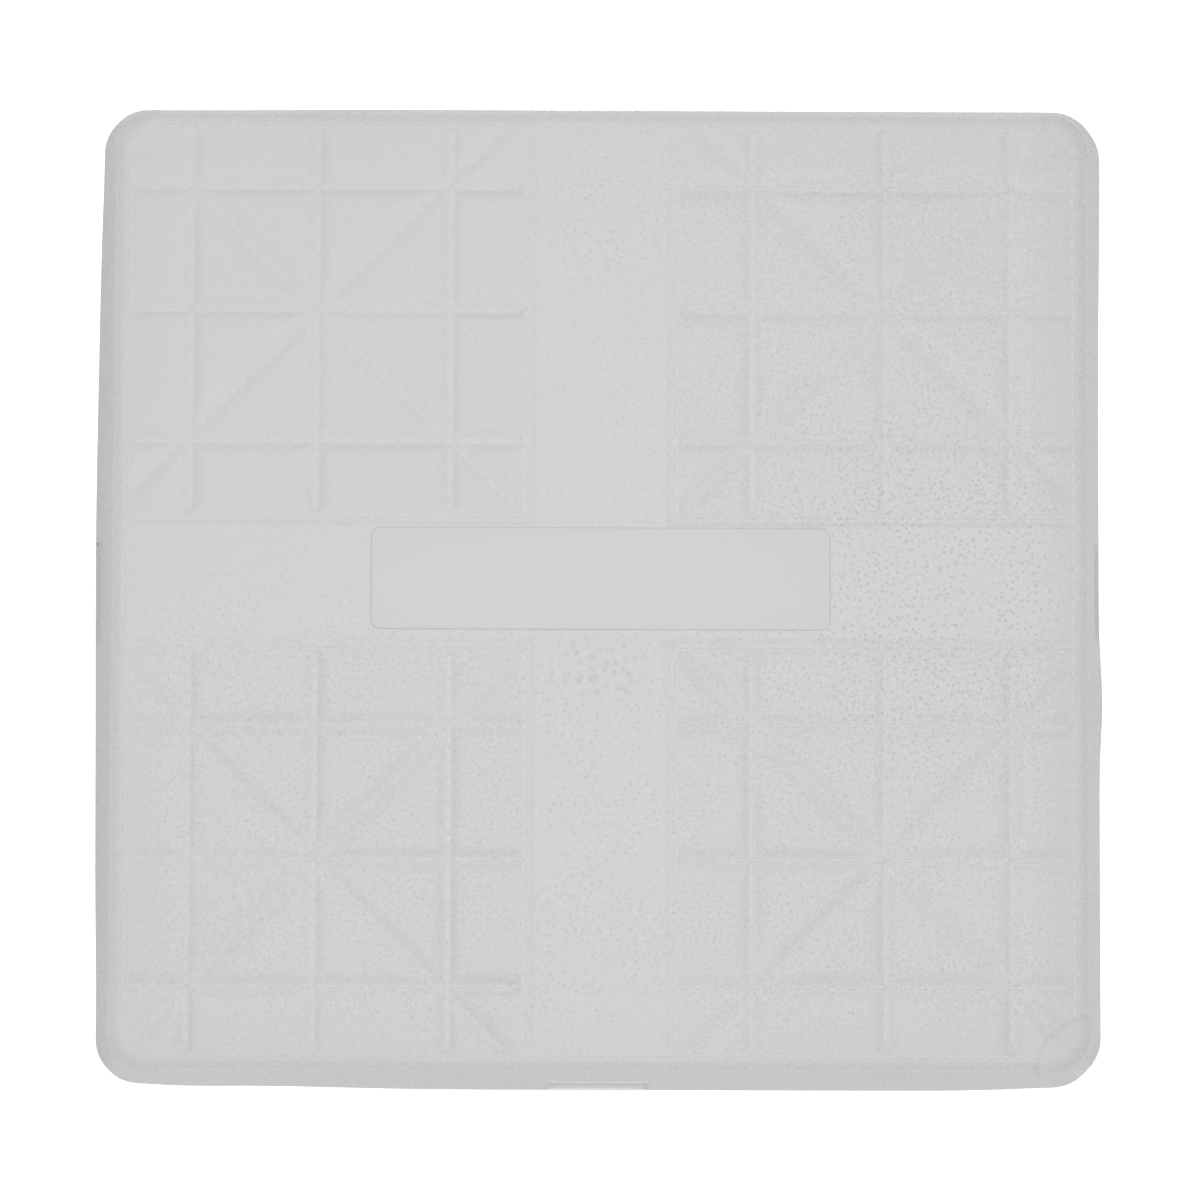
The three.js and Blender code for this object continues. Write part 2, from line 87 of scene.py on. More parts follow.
def share(name, description, default):
    """A plain number from 0 to 1 that a user can change."""
    return FloatProperty(name=name, description=description, default=default, min=0, max=1)


def angle(name, description, degrees):
    """An angle that a user can change."""
    default = math.radians(degrees)
    return FloatProperty(name=name, description=description, default=default, unit="ROTATION")


def colour(name, description, default):
    """A colour that a user can change."""
    return FloatVectorProperty(
        name=name, description=description, default=default, subtype="COLOR", min=0, max=1
    )


class CoverSettings(bpy.types.PropertyGroup):
    """Sizes and colour of the moulded rubber cover."""

    half_length: length("Half length", "Centre to the wall along X at the ground", COVER_HIGH.x)
    half_width: length("Half width", "Centre to the wall along Y at the ground", COVER_HIGH.y)
    top_height: length("Height", "Ground to the quilted top", 0.0762)
    draft: angle("Draft", "Lean of the side walls", 11.0)
    edge_radius: length("Edge radius", "Round between a wall and the top", 0.0051)
    corner_radius: length("Corner radius", "Plan corner at the ground", 0.0195)
    top_corner: length("Top corner radius", "Plan corner of the flat top", 0.012)
    top_shift: length("Top shift", "Ground outline's centre to the top's, towards the rear", -0.0022)
    long_strap: length("Long strap", "Width of the strap along Y", 0.0508)
    cross_strap: length("Cross strap", "Width of the strap along X", 0.04445)
    seam_inner: length("Inner seam", "Strap edge to the inner seam", 0.0293)
    seam_middle: length("Middle seam", "Strap edge to the middle seam", 0.0777)
    seam_outer: length("Outer seam", "Strap edge to the outer seam", 0.1233)
    seam_depth: length("Seam depth", "Depth of the straight seams", 0.0011)
    slant_depth: length("Slant depth", "Depth of the slanting seams", 0.0009)
    seam_floor: length("Seam floor", "Half of the flat floor of a seam", 0.0013)
    seam_reach: length("Seam reach", "Seam line to the crown of the pad", 0.0075)
    seam_end: length("Seam end", "Stretch over which a seam runs out at a strap", 0.006)
    rear_share: share("Rear share", "Seam places in the rear half, as a share of those in front", 0.986)
    strap_line: length("Strap line", "Strap edge to the line beside it", 0.0003)
    strap_depth: length("Strap line depth", "Depth of the line beside a strap", 0.0008)
    long_share: share("Long strap share", "Depth of the line beside the long strap, as a share", 0.55)
    strap_reach: length("Strap line reach", "Line to the flat of the strap", 0.0030)
    border_depth: length("Border depth", "Depth of the line round the top", 0.0002)
    border_reach: length("Border reach", "Half width of the line round the top", 0.0026)
    patch_radius: length("Patch radius", "Radius of a front corner patch", 0.0215)
    rear_patch: length("Rear patch radius", "Radius of a rear corner patch", 0.0182)
    patch_rise: length("Patch rise", "Height of a corner patch", 0.0006)
    patch_inset: length("Patch inset", "Outline to the patch's centre at the top", 0.0118)
    patch_foot_inset: length("Patch foot inset", "Outline to the patch's centre at the ground", 0.0005)
    patch_foot: length("Patch foot", "Ground to the patch's lower edge", 0.050)
    patch_fade: length("Patch fade", "Height over which the patch's lower edge runs out", 0.020)
    panel_width: length("Panel width", "Width of a sunk wall panel", 0.0360)
    panel_height: length("Panel height", "Height of a sunk wall panel", 0.0270)
    panel_foot: length("Panel foot", "Ground to the panel's lower edge", 0.0030)
    panel_radius: length("Panel radius", "Corner of a sunk wall panel", 0.0040)
    panel_depth: length("Panel depth", "Depth of a sunk wall panel", 0.0012)
    lip_rise: length("Lip rise", "Height of the lip over a sunk wall panel", 0.0004)
    lip_reach: length("Lip reach", "Half width of the lip", 0.0016)
    step_width: length("Step width", "Width of the soft step round a patch or panel", 0.0014)
    unevenness: length("Unevenness", "Slow waves that the mould leaves", 0.00012)
    pitch: length("Mesh pitch", "Spacing of the mesh lines on the top", 0.0015)
    seam_pitch: length("Seam pitch", "Spacing of the mesh lines beside a seam", 0.00075)
    rubber: colour("Rubber", "Colour of the rubber", (0.66, 0.66, 0.655))


class StitchSettings(bpy.types.PropertyGroup):
    """Sizes of the moulded stitches."""

    pitch: length("Pitch", "Stitch to stitch", 0.00505)
    long_side: length("Length", "Length of one stitch", 0.0039)
    short_side: length("Width", "Width of one stitch", 0.0016)
    rise: length("Rise", "Height of one stitch over its seam", 0.00055)
    border_shift: length("Border shift", "Border line to its stitches", 0.0005)
    strap_shift: length("Strap shift", "Strap edge to the stitches beside it", 0.0022)
    clear: length("Clearance", "Bare stretch where a slanting row meets a seam", 0.0035)


class PebbleSettings(bpy.types.PropertyGroup):
    """Sizes of the pebbles on the walls."""

    pitch: length("Pitch", "Pebble to pebble along a wall", 0.0018)
    row_pitch: length("Row pitch", "Row to row up a wall", 0.0020)
    radius: length("Radius", "Radius of a middling pebble", 0.00058)
    rise: length("Rise", "Height of a middling pebble", 0.00026)
    sunk: length("Sunk", "Depth of a pebble's rim in the wall", 0.00004)
    low: length("Lowest", "Ground to the lowest row", 0.0020)
    high: length("Highest", "Run up the wall and over its round edge to the highest row", 0.0790)


class PlateSettings(bpy.types.PropertyGroup):
    """Sizes of the bare plate on the crossing of the straps."""

    plate_length: length("Length", "Length along X", 0.166)
    plate_width: length("Width", "Width along Y", 0.037)
    rise: length("Rise", "Height over the straps", 0.0008)
    shift: length("Shift", "Towards the rear", 0.0014)
    radius: length("Corner radius", "Plan corner", 0.0038)
    edge: length("Edge", "Round of the top edge", 0.0006)


class SteelSettings(bpy.types.PropertyGroup):
    """Finish of the stanchion, the closing sheet and the fasteners."""

    weld_leg: length("Weld leg", "Leg of the weld round the post", 0.0048)
    weld_ripple: length("Weld ripple", "Height of the ripples in the weld", 0.00028)
    ripple_pitch: length("Ripple pitch", "Ripple to ripple", 0.0021)
    edge: length("Edge", "Broken edges of the plates", 0.0005)
    sides: IntProperty(name="Sides", description="Facets round a fastener", default=48, min=12)
    zinc: colour("Zinc", "Colour of the plated stanchion", (0.50, 0.52, 0.53))
    bolts: colour("Bolts", "Colour of the fasteners", (0.62, 0.63, 0.64))
    brass: colour("Brass", "Colour of the inserts", (0.62, 0.43, 0.16))
    sheet: colour("Sheet", "Colour of the closing sheet", (0.018, 0.019, 0.021))
    foam: colour("Foam", "Colour of the filler blocks", (0.68, 0.62, 0.49))


class StageSettings(bpy.types.PropertyGroup):
    """Camera, floor and light."""

    distance: length("Camera distance", "Camera to the point that it looks at", 1.50)
    lean_front: angle("Lean to the front", "Camera's lean towards -Y", 3.4)
    lean_left: angle("Lean to the left", "Camera's lean towards -X", 0.5)
    roll: angle("Roll", "Camera's turn about its own axis", 0.19)
    target_x: length("Target X", "Point that the camera looks at", 0.0004)
    target_y: length("Target Y", "Point that the camera looks at", -0.0018)
    field: length("Field", "Width of the view at the target", 0.4566)
    key_power: FloatProperty(
        name="Key", description="Power of the overhead light", default=8.9, unit="POWER"
    )
    key_x: length("Key X", "Place of the overhead light", 0.01)
    key_height: length("Key height", "Height of the overhead light", 1.5)
    key_size: length("Key size", "Width of the overhead light", 0.33)
    sky: share("Sky", "Brightness of the even light all round", 0.50)
    floor: colour("Floor", "Colour of the floor", (0.80, 0.80, 0.80))
    glow: share("Floor glow", "Light that the floor adds towards the camera", 0.95)
    # Painted shadow: the floor's glow to the camera is lower below the base.
    under_glow: share("Glow below", "The same below the base", 0.55)
    bounce: share("Floor bounce", "Light that the floor adds on the base", 0.61)


def clamp(value, low=0.0, high=1.0):
    return min(max(value, low), high)


def blend(low, high, part):
    return low + (high - low) * part


def soft_step(value):
    """0 below 0, 1 above 1 and a smooth rise between."""
    part = clamp(value)
    return part * part * (3 - 2 * part)


def valley(distance, floor, reach, ease=2.4):
    """Share of a line's depth at a distance from it: a flat floor, then a side that eases out."""
    part = clamp((distance - floor) / (reach - floor))
    return (1 - part) ** ease


class CoverShape:
    """The cover's form, worked out from its settings."""

    # Bows of the soft walls: way the wall faces, place along it, spread and amount, in metres
    SAGS = (
        (-1, 0, 0.025, 0.080, 0.0010),
        (-1, 0, -0.160, 0.040, -0.0009),
        (-1, 0, 0.168, 0.030, -0.0008),
        (1, 0, -0.040, 0.018, 0.0012),
        (1, 0, 0.160, 0.050, 0.0009),
        (0, -1, -0.130, 0.045, -0.0012),
        (0, -1, -0.184, 0.022, -0.0020),
        (0, -1, 0.180, 0.030, -0.0014),
        (0, 1, 0.000, 0.400, -0.0012),
        (0, 1, -0.170, 0.060, -0.0008),
        (-0.707, -0.707, 0.0, 1.0, -0.0011),
        (0.707, -0.707, 0.0, 1.0, -0.0013),
        (-0.707, 0.707, 0.0, 1.0, -0.0009),
    )
    # How closely a bow keeps to walls that face its way
    SAG_FOCUS = 10
    # Painted shade: way a wall faces, and how much darker its round edge, the wall, its foot and its panel
    # are painted than the top, in place of the shade that falls there
    SOIL = (
        (-1, 0, 0.010, 0.160, 0.230, 0.0),
        (1, 0, 0.045, 0.110, 0.110, 0.0),
        (0, -1, 0.015, 0.080, 0.080, 0.05),
        (0, 1, 0.005, 0.070, 0.070, 0.0),
    )
    # Drop below the top where a wall's painted shade starts, and the runs over which it grows, fades on the
    # top and turns a corner
    SHADE_START = 0.0025
    SHADE_RUN = 0.006
    SHADE_REACH = 0.020
    SHADE_TURN = 0.030
    # Painted highlight: way a wall faces, and how pale the ledge and the lip of its panel are painted
    POLISH = ((-1, 0, 0.5, 0.2), (1, 0, 0.2, 0.0), (0, -1, 1.4, 1.2), (0, 1, 0.5, 0.4))
    # Share of the half width beyond which the painted highlight lies, and its strength above the panel's
    # foot
    HIGHLIGHT_START = 0.94
    HIGHLIGHT_ABOVE = 0.5
    # How steep a seam's inner side is on the left and on the right, and its outer side
    LEFT_EASE = 3.8
    RIGHT_EASE = 3.0
    OUTER_EASE = 2.2
    # Shares of depth: strap lines on the left, seams in front, slanting seams that point at the centre
    LEFT_SHARE = 0.65
    FRONT_SHARE = 1.2
    RADIAL_SHARE = 1.15
    # Width of the change from left to right, the slow swing of a seam's depth, and the mould's waves
    MIDDLE_RUN = 0.1
    SWING_MEAN = 0.85
    SWING_SPREAD = 0.55
    SEAM_RUN = 0.07
    WAVE_RUN = 0.045
    # Reach of the close mesh lines beside a seam, and the rows of mesh down the edge and the walls
    SEAM_ZONE = 0.0032
    EDGE_ROWS = 8
    SHOULDER_ROWS = 5
    PANEL_ROWS = 6
    FOOT_ROWS = 2

    def __init__(self, settings):
        for name in settings.bl_rna.properties.keys():
            if name not in ("rna_type", "name"):
                setattr(self, name, getattr(settings, name))
        lean = math.tan(self.draft)
        round_reach = self.edge_radius * (1 - math.sin(self.draft)) / math.cos(self.draft)
        self.edge_inset = self.top_height * lean + round_reach
        self.border_x = self.half_length - self.edge_inset
        self.border_y = self.half_width - self.edge_inset
        self.side = self.border_x - self.long_strap / 2
        self.seams = (self.seam_inner, self.seam_middle, self.seam_outer)

    def rounded(self, x, y):
        """A point of the top's rectangle drawn in so that its corners come out round."""
        radius = self.top_corner
        centre_x = clamp(x, radius - self.border_x, self.border_x - radius)
        centre_y = clamp(y, radius - self.border_y, self.border_y - radius)
        u = (x - centre_x) / radius
        v = (y - centre_y) / radius
        drawn_x = centre_x + radius * u * math.sqrt(1 - v * v / 2)
        drawn_y = centre_y + radius * v * math.sqrt(1 - u * u / 2)
        return drawn_x, drawn_y, centre_x, centre_y

    def border_gap(self, x, y):
        """Distance from a point of the top in to its round-cornered border."""
        radius = self.top_corner
        u = abs(x) - (self.border_x - radius)
        v = abs(y - self.top_shift) - (self.border_y - radius)
        if u > 0 and v > 0:
            return radius - math.hypot(u, v)
        return radius - max(u, v)

    def mesh_lines(self, half, strap):
        """Places of the mesh lines from the centre to the border: close together beside a seam."""
        seams = [strap / 2 + offset for offset in (self.strap_line, *self.seams)]
        places = [0.0]
        while places[-1] < half:
            near = min(abs(places[-1] - seam) for seam in seams)
            places.append(places[-1] + (self.seam_pitch if near < self.SEAM_ZONE else self.pitch))
        places[-1] = half
        return places

    def groove(self, gap, inner_ease):
        """Share of a seam's depth at a distance from it: steeper on the side towards the centre."""
        ease = inner_ease if gap < 0 else self.OUTER_EASE
        return valley(abs(gap), self.seam_floor, self.seam_reach, ease)

    def pattern_y(self, y):
        """Distance from the cross strap's edge, as in the front half of the pattern."""
        gap = abs(y) - self.cross_strap / 2
        return gap / self.rear_share if y > 0 else gap

    def to_right(self, x):
        """0 on the left half, 1 on the right half and a smooth rise between."""
        return soft_step(x / self.MIDDLE_RUN + 0.5)

    def quilt(self, x, y):
        """Depth of the seams and strap lines at a point of the top."""
        u = abs(x) - self.long_strap / 2
        v = self.pattern_y(y)
        depths = []
        if u > 0 and v > 0:
            ease = blend(self.LEFT_EASE, self.RIGHT_EASE, self.to_right(x))
            wave = noise.noise(Vector((x, y, 0)) / self.SEAM_RUN)
            swing = self.SWING_MEAN + self.SWING_SPREAD * wave
            swing *= self.FRONT_SHARE if y < 0 else 1.0
            end_u = swing * soft_step(u / self.seam_end)
            end_v = swing * soft_step(v / self.seam_end)
            for offset in self.seams:
                depths.append(end_v * self.seam_depth * self.groove(u - offset, ease))
                depths.append(end_u * self.seam_depth * self.groove(v - offset, ease))
            for slant, part in ((abs(u - v), self.RADIAL_SHARE), (u + v - 2 * self.seam_middle, 1.0)):
                depth = part * self.slant_depth * self.groove(slant / math.sqrt(2), ease)
                depths.append(min(end_u, end_v) * depth)
        u -= self.strap_line
        v -= self.strap_line
        right = blend(self.LEFT_SHARE, 1.0, self.to_right(x))
        for across, along, part in ((u, v, self.long_share), (v, u, right)):
            gap = abs(across) if along > 0 else math.hypot(across, along)
            reach = self.seam_reach if across > 0 and along > 0 else self.strap_reach
            depths.append(part * self.strap_depth * valley(gap, self.seam_floor / 2, reach))
        return sum(depth**4 for depth in depths) ** 0.25

    def border_line(self, gap):
        """Depth of the line round the top at a distance from the border."""
        return self.border_depth * valley(abs(gap), self.seam_floor / 2, self.border_reach)

    def shift_at(self, z):
        """How far the outline at a height lies to the rear of the one on the ground."""
        return self.top_shift * clamp(z / self.top_height)

    def patch(self, x, y, z):
        """Rise of the corner patch at a point."""
        inset = blend(self.patch_foot_inset, self.patch_inset, clamp(z / self.top_height))
        u = abs(x) - (self.half_length - inset)
        v = abs(y - self.shift_at(z)) - (self.half_width - inset)
        radius = self.rear_patch if y > 0 else self.patch_radius
        over = soft_step((radius - math.hypot(u, v)) / self.step_width + 0.5)
        above = soft_step((z - self.patch_foot) / self.patch_fade)
        return self.patch_rise * over * above

    def panel(self, along, z):
        """Depth of the sunk panel, below zero on its lip, at a place along a wall and a height."""
        radius = self.panel_radius
        u = abs(along) - (self.panel_width / 2 - radius)
        v = abs(z - self.panel_foot - self.panel_height / 2) - (self.panel_height / 2 - radius)
        gap = radius - (math.hypot(u, v) if u > 0 and v > 0 else max(u, v))
        sunk = self.panel_depth * soft_step(gap / self.step_width + 0.5)
        end = soft_step((self.panel_width / 2 - abs(along)) / radius)
        return sunk - self.lip_rise * end * clamp(1 - abs(z - self.lip_height()) / self.lip_reach)

    def soil(self, x, y, z):
        """Painted shade: how much darker than the rest the rubber is painted, round the edge, by the way a
        wall faces and more towards the ground.
        """
        low = clamp(1 - z / self.top_height)
        below = soft_step((self.top_height - z - self.SHADE_START) / self.SHADE_RUN)
        beyond_x = abs(x) - self.border_x
        beyond_y = abs(y - self.shift_at(z)) - self.border_y
        found = 0.0
        for wall_x, wall_y, edge, wall, foot, panel in self.SOIL:
            if x * wall_x + y * wall_y < 0:
                continue
            out, other = (beyond_x, beyond_y) if wall_x else (beyond_y, beyond_x)
            dark = blend(wall, foot, low)
            if panel and out > 0:
                dark += panel * clamp(self.panel(x * wall_y + y * wall_x, z) / self.panel_depth)
            facing = soft_step((out - other) / self.SHADE_TURN + 0.5)
            near = soft_step(out / self.SHADE_REACH + 1)
            found = max(found, blend(near * edge, facing * dark, below))
        return found

    def polish(self, x, y, z):
        """Painted highlight: how much paler the lip over a sunk panel and the ledge below it are painted."""
        near = self.step_width / 2
        for wall_x, wall_y, ledge, lip in self.POLISH:
            out = x * wall_x / self.half_length + y * wall_y / self.half_width
            along = x * wall_y + y * wall_x
            if out > self.HIGHLIGHT_START and abs(along) < self.panel_width / 2:
                if abs(z - self.panel_foot) < near:
                    return ledge if z < self.panel_foot else self.HIGHLIGHT_ABOVE * ledge
                if abs(z - self.lip_height()) < near / 2:
                    return lip
        return 0.0

    def lip_height(self):
        """Height of the lip over a sunk panel."""
        return self.panel_foot + self.panel_height + self.step_width / 3

    def waves(self, x, y, z):
        """Slow waves left by the mould."""
        return self.unevenness * noise.noise(Vector((x, y, z)) / self.WAVE_RUN)

    def sag(self, outward, along, z):
        """How far the soft wall bows out at a place: most at the ground, none at the top edge."""
        total = 0.0
        for wall_x, wall_y, place, spread, amount in self.SAGS:
            facing = max(0.0, outward.x * wall_x + outward.y * wall_y)
            gap = (along - place) / spread
            total += amount * facing**self.SAG_FOCUS * math.exp(-gap * gap)
        return total * clamp(1 - z / self.top_height)

    def top_point(self, x, y):
        """A point of the finished top over a place in plan."""
        gap = self.border_gap(x, y)
        depth = max(self.quilt(x, y) * soft_step(gap / self.border_reach), self.border_line(gap))
        z = self.top_height - depth + self.patch(x, y, self.top_height) + self.waves(x, y, 0)
        return Vector((x, y, z))

    def edge_ring(self, lean):
        """Inset, height and lean of a loop on the round edge."""
        drop = self.edge_radius * (1 - math.sin(lean))
        return self.edge_inset - self.edge_radius * math.cos(lean), self.top_height - drop, lean

    def rings(self):
        """Inset, height and lean of each loop from the top's border down to the ground."""
        for step in range(1, self.EDGE_ROWS + 1):
            yield self.edge_ring(blend(math.pi / 2, self.draft, step / self.EDGE_ROWS))
        shoulder = self.edge_ring(self.draft)[1]
        half_step = self.step_width / 3
        panel_top = self.panel_foot + self.panel_height
        lip_top = self.lip_height() + self.lip_reach
        stops = [
            (shoulder, lip_top, self.SHOULDER_ROWS),
            (lip_top, panel_top + half_step, 1),
            (panel_top + half_step, panel_top - half_step, 1),
            (panel_top - half_step, self.panel_foot + half_step, self.PANEL_ROWS),
            (self.panel_foot + half_step, self.panel_foot - half_step, 1),
            (self.panel_foot - half_step, 0.0, self.FOOT_ROWS),
        ]
        for high, low, rows in stops:
            for step in range(1, rows + 1):
                z = blend(high, low, step / rows)
                yield z * math.tan(self.draft), z, self.draft

    def ring_at(self, run):
        """Inset, height and lean at a run from the ground up a wall and on over its round edge."""
        shoulder = self.edge_ring(self.draft)[1] / math.cos(self.draft)
        if run < shoulder:
            return run * math.sin(self.draft), run * math.cos(self.draft), self.draft
        return self.edge_ring(min(self.draft + (run - shoulder) / self.edge_radius, math.pi / 2))

    def wall_point(self, anchor, outward, ring):
        """A point of the edge or a wall: a place on the plan outline and a loop."""
        inset, z, lean = ring
        radius = blend(self.corner_radius, self.top_corner, clamp(inset / self.edge_inset))
        x = anchor.x * (self.half_length - inset - radius) + outward.x * radius
        y = anchor.y * (self.half_width - inset - radius) + outward.y * radius + self.shift_at(z)
        along = y if abs(outward.x) > abs(outward.y) else x
        rise = self.patch(x, y, z) - self.border_line(self.edge_radius * (math.pi / 2 - lean))
        if lean == self.draft:
            rise -= self.panel(along, z)
        rise += self.waves(x, y, z)
        normal = Vector((outward.x * math.cos(lean), outward.y * math.cos(lean), math.sin(lean)))
        foot = Vector((x, y, z)) + outward * self.sag(outward, along, z)
        return foot + normal * rise if z > 0 else foot


def plain_object(bm, name):
    """An object of the scene made from a bmesh, which is freed."""
    mesh = bpy.data.meshes.new(name)
    bm.to_mesh(mesh)
    bm.free()
    made = bpy.data.objects.new(name, mesh)
    bpy.context.scene.collection.objects.link(made)
    return made


def finish_piece(bm, name, material, smooth_angle=40):
    """Turns a bmesh into a piece that rides on the base."""
    for face in bm.faces:
        face.smooth = True
    limit = math.radians(smooth_angle)
    for edge in bm.edges:
        edge.smooth = edge.is_manifold and edge.calc_face_angle(0) < limit
    piece = plain_object(bm, name)
    piece.data.materials.append(material)
    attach(piece, BODY)
    return piece


def merged_copy(node):
    """A bmesh of a CAD node with its loose triangles joined."""
    bm = bmesh.new()
    bm.from_mesh(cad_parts[node].data)
    bmesh.ops.remove_doubles(bm, verts=bm.verts, dist=1e-6)
    return bm


def new_vertices(made):
    return [item for item in made if isinstance(item, bmesh.types.BMVert)]


def outer_edges(bm):
    return [edge for edge in bm.edges if edge.is_boundary]


def next_loop(bm, edges):
    """Extrudes a loop of edges and gives the new vertices and edges."""
    made = bmesh.ops.extrude_edge_only(bm, edges=edges)["geom"]
    vertices = new_vertices(made)
    fresh = set(vertices)
    loop = [
        item for item in made
        if isinstance(item, bmesh.types.BMEdge) and item.verts[0] in fresh and item.verts[1] in fresh
    ]
    return vertices, loop


def stacked_loops(bm, stations):
    """Extrudes a circle from station to station and gives each loop's number, vertices and station."""
    vertices = list(bm.verts)
    edges = list(bm.edges)
    for number, station in enumerate(stations):
        if number:
            vertices, edges = next_loop(bm, edges)
        yield number, vertices, station


class Wiring:
    """Adds nodes to one tree and links them."""

    def __init__(self, tree):
        self.tree = tree

    def node(self, kind, **settings):
        made = self.tree.nodes.new(kind)
        for name, value in settings.items():
            setattr(made, name, value)
        return made

    def set(self, socket, value):
        """Links a socket to an input, or sets a plain value on it."""
        if isinstance(value, bpy.types.NodeSocket):
            self.tree.links.new(value, socket)
        else:
            socket.default_value = value

    def math(self, operation, *values):
        made = self.node("ShaderNodeMath", operation=operation)
        for socket, value in zip(made.inputs, values):
            self.set(socket, value)
        return made.outputs[0]

    def ramp(self, value, low, high, start=0.0, stop=1.0):
        """Runs smoothly from start at low to stop at high."""
        made = self.node("ShaderNodeMapRange", interpolation_type="SMOOTHSTEP")
        for name, item in (("Value", value), ("From Min", low), ("From Max", high)):
            self.set(made.inputs[name], item)
        self.set(made.inputs["To Min"], start)
        self.set(made.inputs["To Max"], stop)
        return made.outputs["Result"]

    def mix(self, part, first, second):
        made = self.node("ShaderNodeMix", data_type="RGBA")
        self.set(made.inputs[0], part)
        self.set(made.inputs[6], first)
        self.set(made.inputs[7], second)
        return made.outputs[2]

    def scaled(self, paint, factor):
        made = self.node("ShaderNodeVectorMath", operation="SCALE")
        self.set(made.inputs[0], paint)
        self.set(made.inputs["Scale"], factor)
        return made.outputs[0]

    def noise(self, vector, scale, detail):
        made = self.node("ShaderNodeTexNoise")
        self.set(made.inputs["Vector"], vector)
        self.set(made.inputs["Scale"], scale)
        made.inputs["Detail"].default_value = detail
        return made.outputs["Fac"]

    def voronoi(self, vector, scale, feature="F1"):
        made = self.node("ShaderNodeTexVoronoi", feature=feature)
        self.set(made.inputs["Vector"], vector)
        self.set(made.inputs["Scale"], scale)
        return made

    def group(self, tree, **values):
        made = self.node("ShaderNodeGroup", node_tree=tree)
        for name, value in values.items():
            self.set(made.inputs[name], value)
        return made.outputs

    def mottled(self, place, paint, scale, amount):
        """A colour with slow and fine unevenness, and the mask of its fine part."""
        tree = known_group("mottle", make_mottle)
        return self.group(tree, Place=place, Colour=(*paint, 1.0), Scale=scale, Amount=amount)

    def finish(self, shader, paint, rough, height, depth):
        """Sets the colour, the roughness and the relief of a shader."""
        made = self.node("ShaderNodeBump")
        self.set(made.inputs["Height"], height)
        made.inputs["Distance"].default_value = depth
        self.set(shader["Base Color"], paint)
        self.set(shader["Roughness"], rough)
        self.set(shader["Normal"], made.outputs["Normal"])

    def place(self):
        return self.node("ShaderNodeTexCoord").outputs["Object"]

    def attribute(self, name):
        return self.node("ShaderNodeAttribute", attribute_name=name).outputs["Fac"]


def new_material(name):
    """A material with its wiring and its shader."""
    material = bpy.data.materials.new(name)
    material.use_nodes = True
    wiring = Wiring(material.node_tree)
    return material, wiring, material.node_tree.nodes["Principled BSDF"].inputs


def new_group(name, inputs, outputs):
    """A node group with named sockets, its wiring, its inputs and its outputs."""
    tree = bpy.data.node_groups.new(name, "ShaderNodeTree")
    for label, kind in inputs:
        tree.interface.new_socket(name=label, in_out="INPUT", socket_type=kind)
    for label, kind in outputs:
        tree.interface.new_socket(name=label, in_out="OUTPUT", socket_type=kind)
    wiring = Wiring(tree)
    return tree, wiring, wiring.node("NodeGroupInput").outputs, wiring.node("NodeGroupOutput").inputs


NUMBER = "NodeSocketFloat"
PLACE = "NodeSocketVector"
PAINT = "NodeSocketColor"


def known_group(name, maker):
    """A node group that is made once."""
    return bpy.data.node_groups.get(name) or maker(name)


def make_pits(name):
    """Scattered round pits, cut through bubbles of uneven size."""
    return pit_group(name, "3D", 0.6, 0.7)


def make_flat_pits(name):
    """Scattered round pits of nearly even size on a level face."""
    return pit_group(name, "2D", 0.8, 0.4)


def pit_group(name, dimensions, least, spread):
    """Pits round scattered points, each of the given radius times a chance between two limits."""
    inputs = [("Place", PLACE), ("Scale", NUMBER), ("Radius", NUMBER), ("Density", NUMBER)]
    tree, wiring, given, result = new_group(name, inputs, [("Pit", NUMBER)])
    cells = wiring.voronoi(given["Place"], given["Scale"])
    cells.voronoi_dimensions = dimensions
    parts = wiring.node("ShaderNodeSeparateColor")
    wiring.set(parts.inputs[0], cells.outputs["Color"])
    chance = wiring.math("MULTIPLY_ADD", parts.outputs[1], spread, least)
    radius = wiring.math("MULTIPLY", given["Radius"], chance)
    floor = wiring.math("MULTIPLY", radius, 0.3)
    pit = wiring.ramp(cells.outputs["Distance"], floor, radius, 1.0, 0.0)
    there = wiring.math("LESS_THAN", parts.outputs[0], given["Density"])
    depth = wiring.math("MULTIPLY", there, wiring.math("MULTIPLY_ADD", parts.outputs[2], 0.5, 0.5))
    wiring.set(result["Pit"], wiring.math("MULTIPLY", pit, depth))
    return tree


def make_mottle(name):
    """Slow and fine unevenness of a colour, with a mask of the fine part."""
    inputs = [("Place", PLACE), ("Colour", PAINT), ("Scale", NUMBER), ("Amount", NUMBER)]
    tree, wiring, given, result = new_group(name, inputs, [("Colour", PAINT), ("Mask", NUMBER)])
    slow = wiring.noise(given["Place"], given["Scale"], 3.0)
    fine = wiring.noise(given["Place"], wiring.math("MULTIPLY", given["Scale"], 14.0), 2.0)
    swing = wiring.math("ADD", wiring.math("SUBTRACT", slow, 0.5), wiring.math("SUBTRACT", fine, 0.5))
    gain = wiring.math("MULTIPLY_ADD", swing, given["Amount"], 1.0)
    wiring.set(result["Colour"], wiring.scaled(given["Colour"], gain))
    wiring.set(result["Mask"], fine)
    return tree


def make_scuffs(name):
    """Thin scratches along two directions."""
    inputs = [("Place", PLACE), ("Scale", NUMBER)]
    tree, wiring, given, result = new_group(name, inputs, [("Scuff", NUMBER)])
    found = []
    for turn in (0.35, -1.1):
        mapping = wiring.node("ShaderNodeMapping")
        wiring.set(mapping.inputs["Vector"], given["Place"])
        mapping.inputs["Rotation"].default_value = (0.2, turn / 3, turn)
        mapping.inputs["Scale"].default_value = (1.0, 0.035, 1.0)
        streak = wiring.noise(mapping.outputs[0], given["Scale"], 2.0)
        found.append(wiring.ramp(streak, 0.66, 0.74))
    wiring.set(result["Scuff"], wiring.math("MAXIMUM", found[0], found[1]))
    return tree


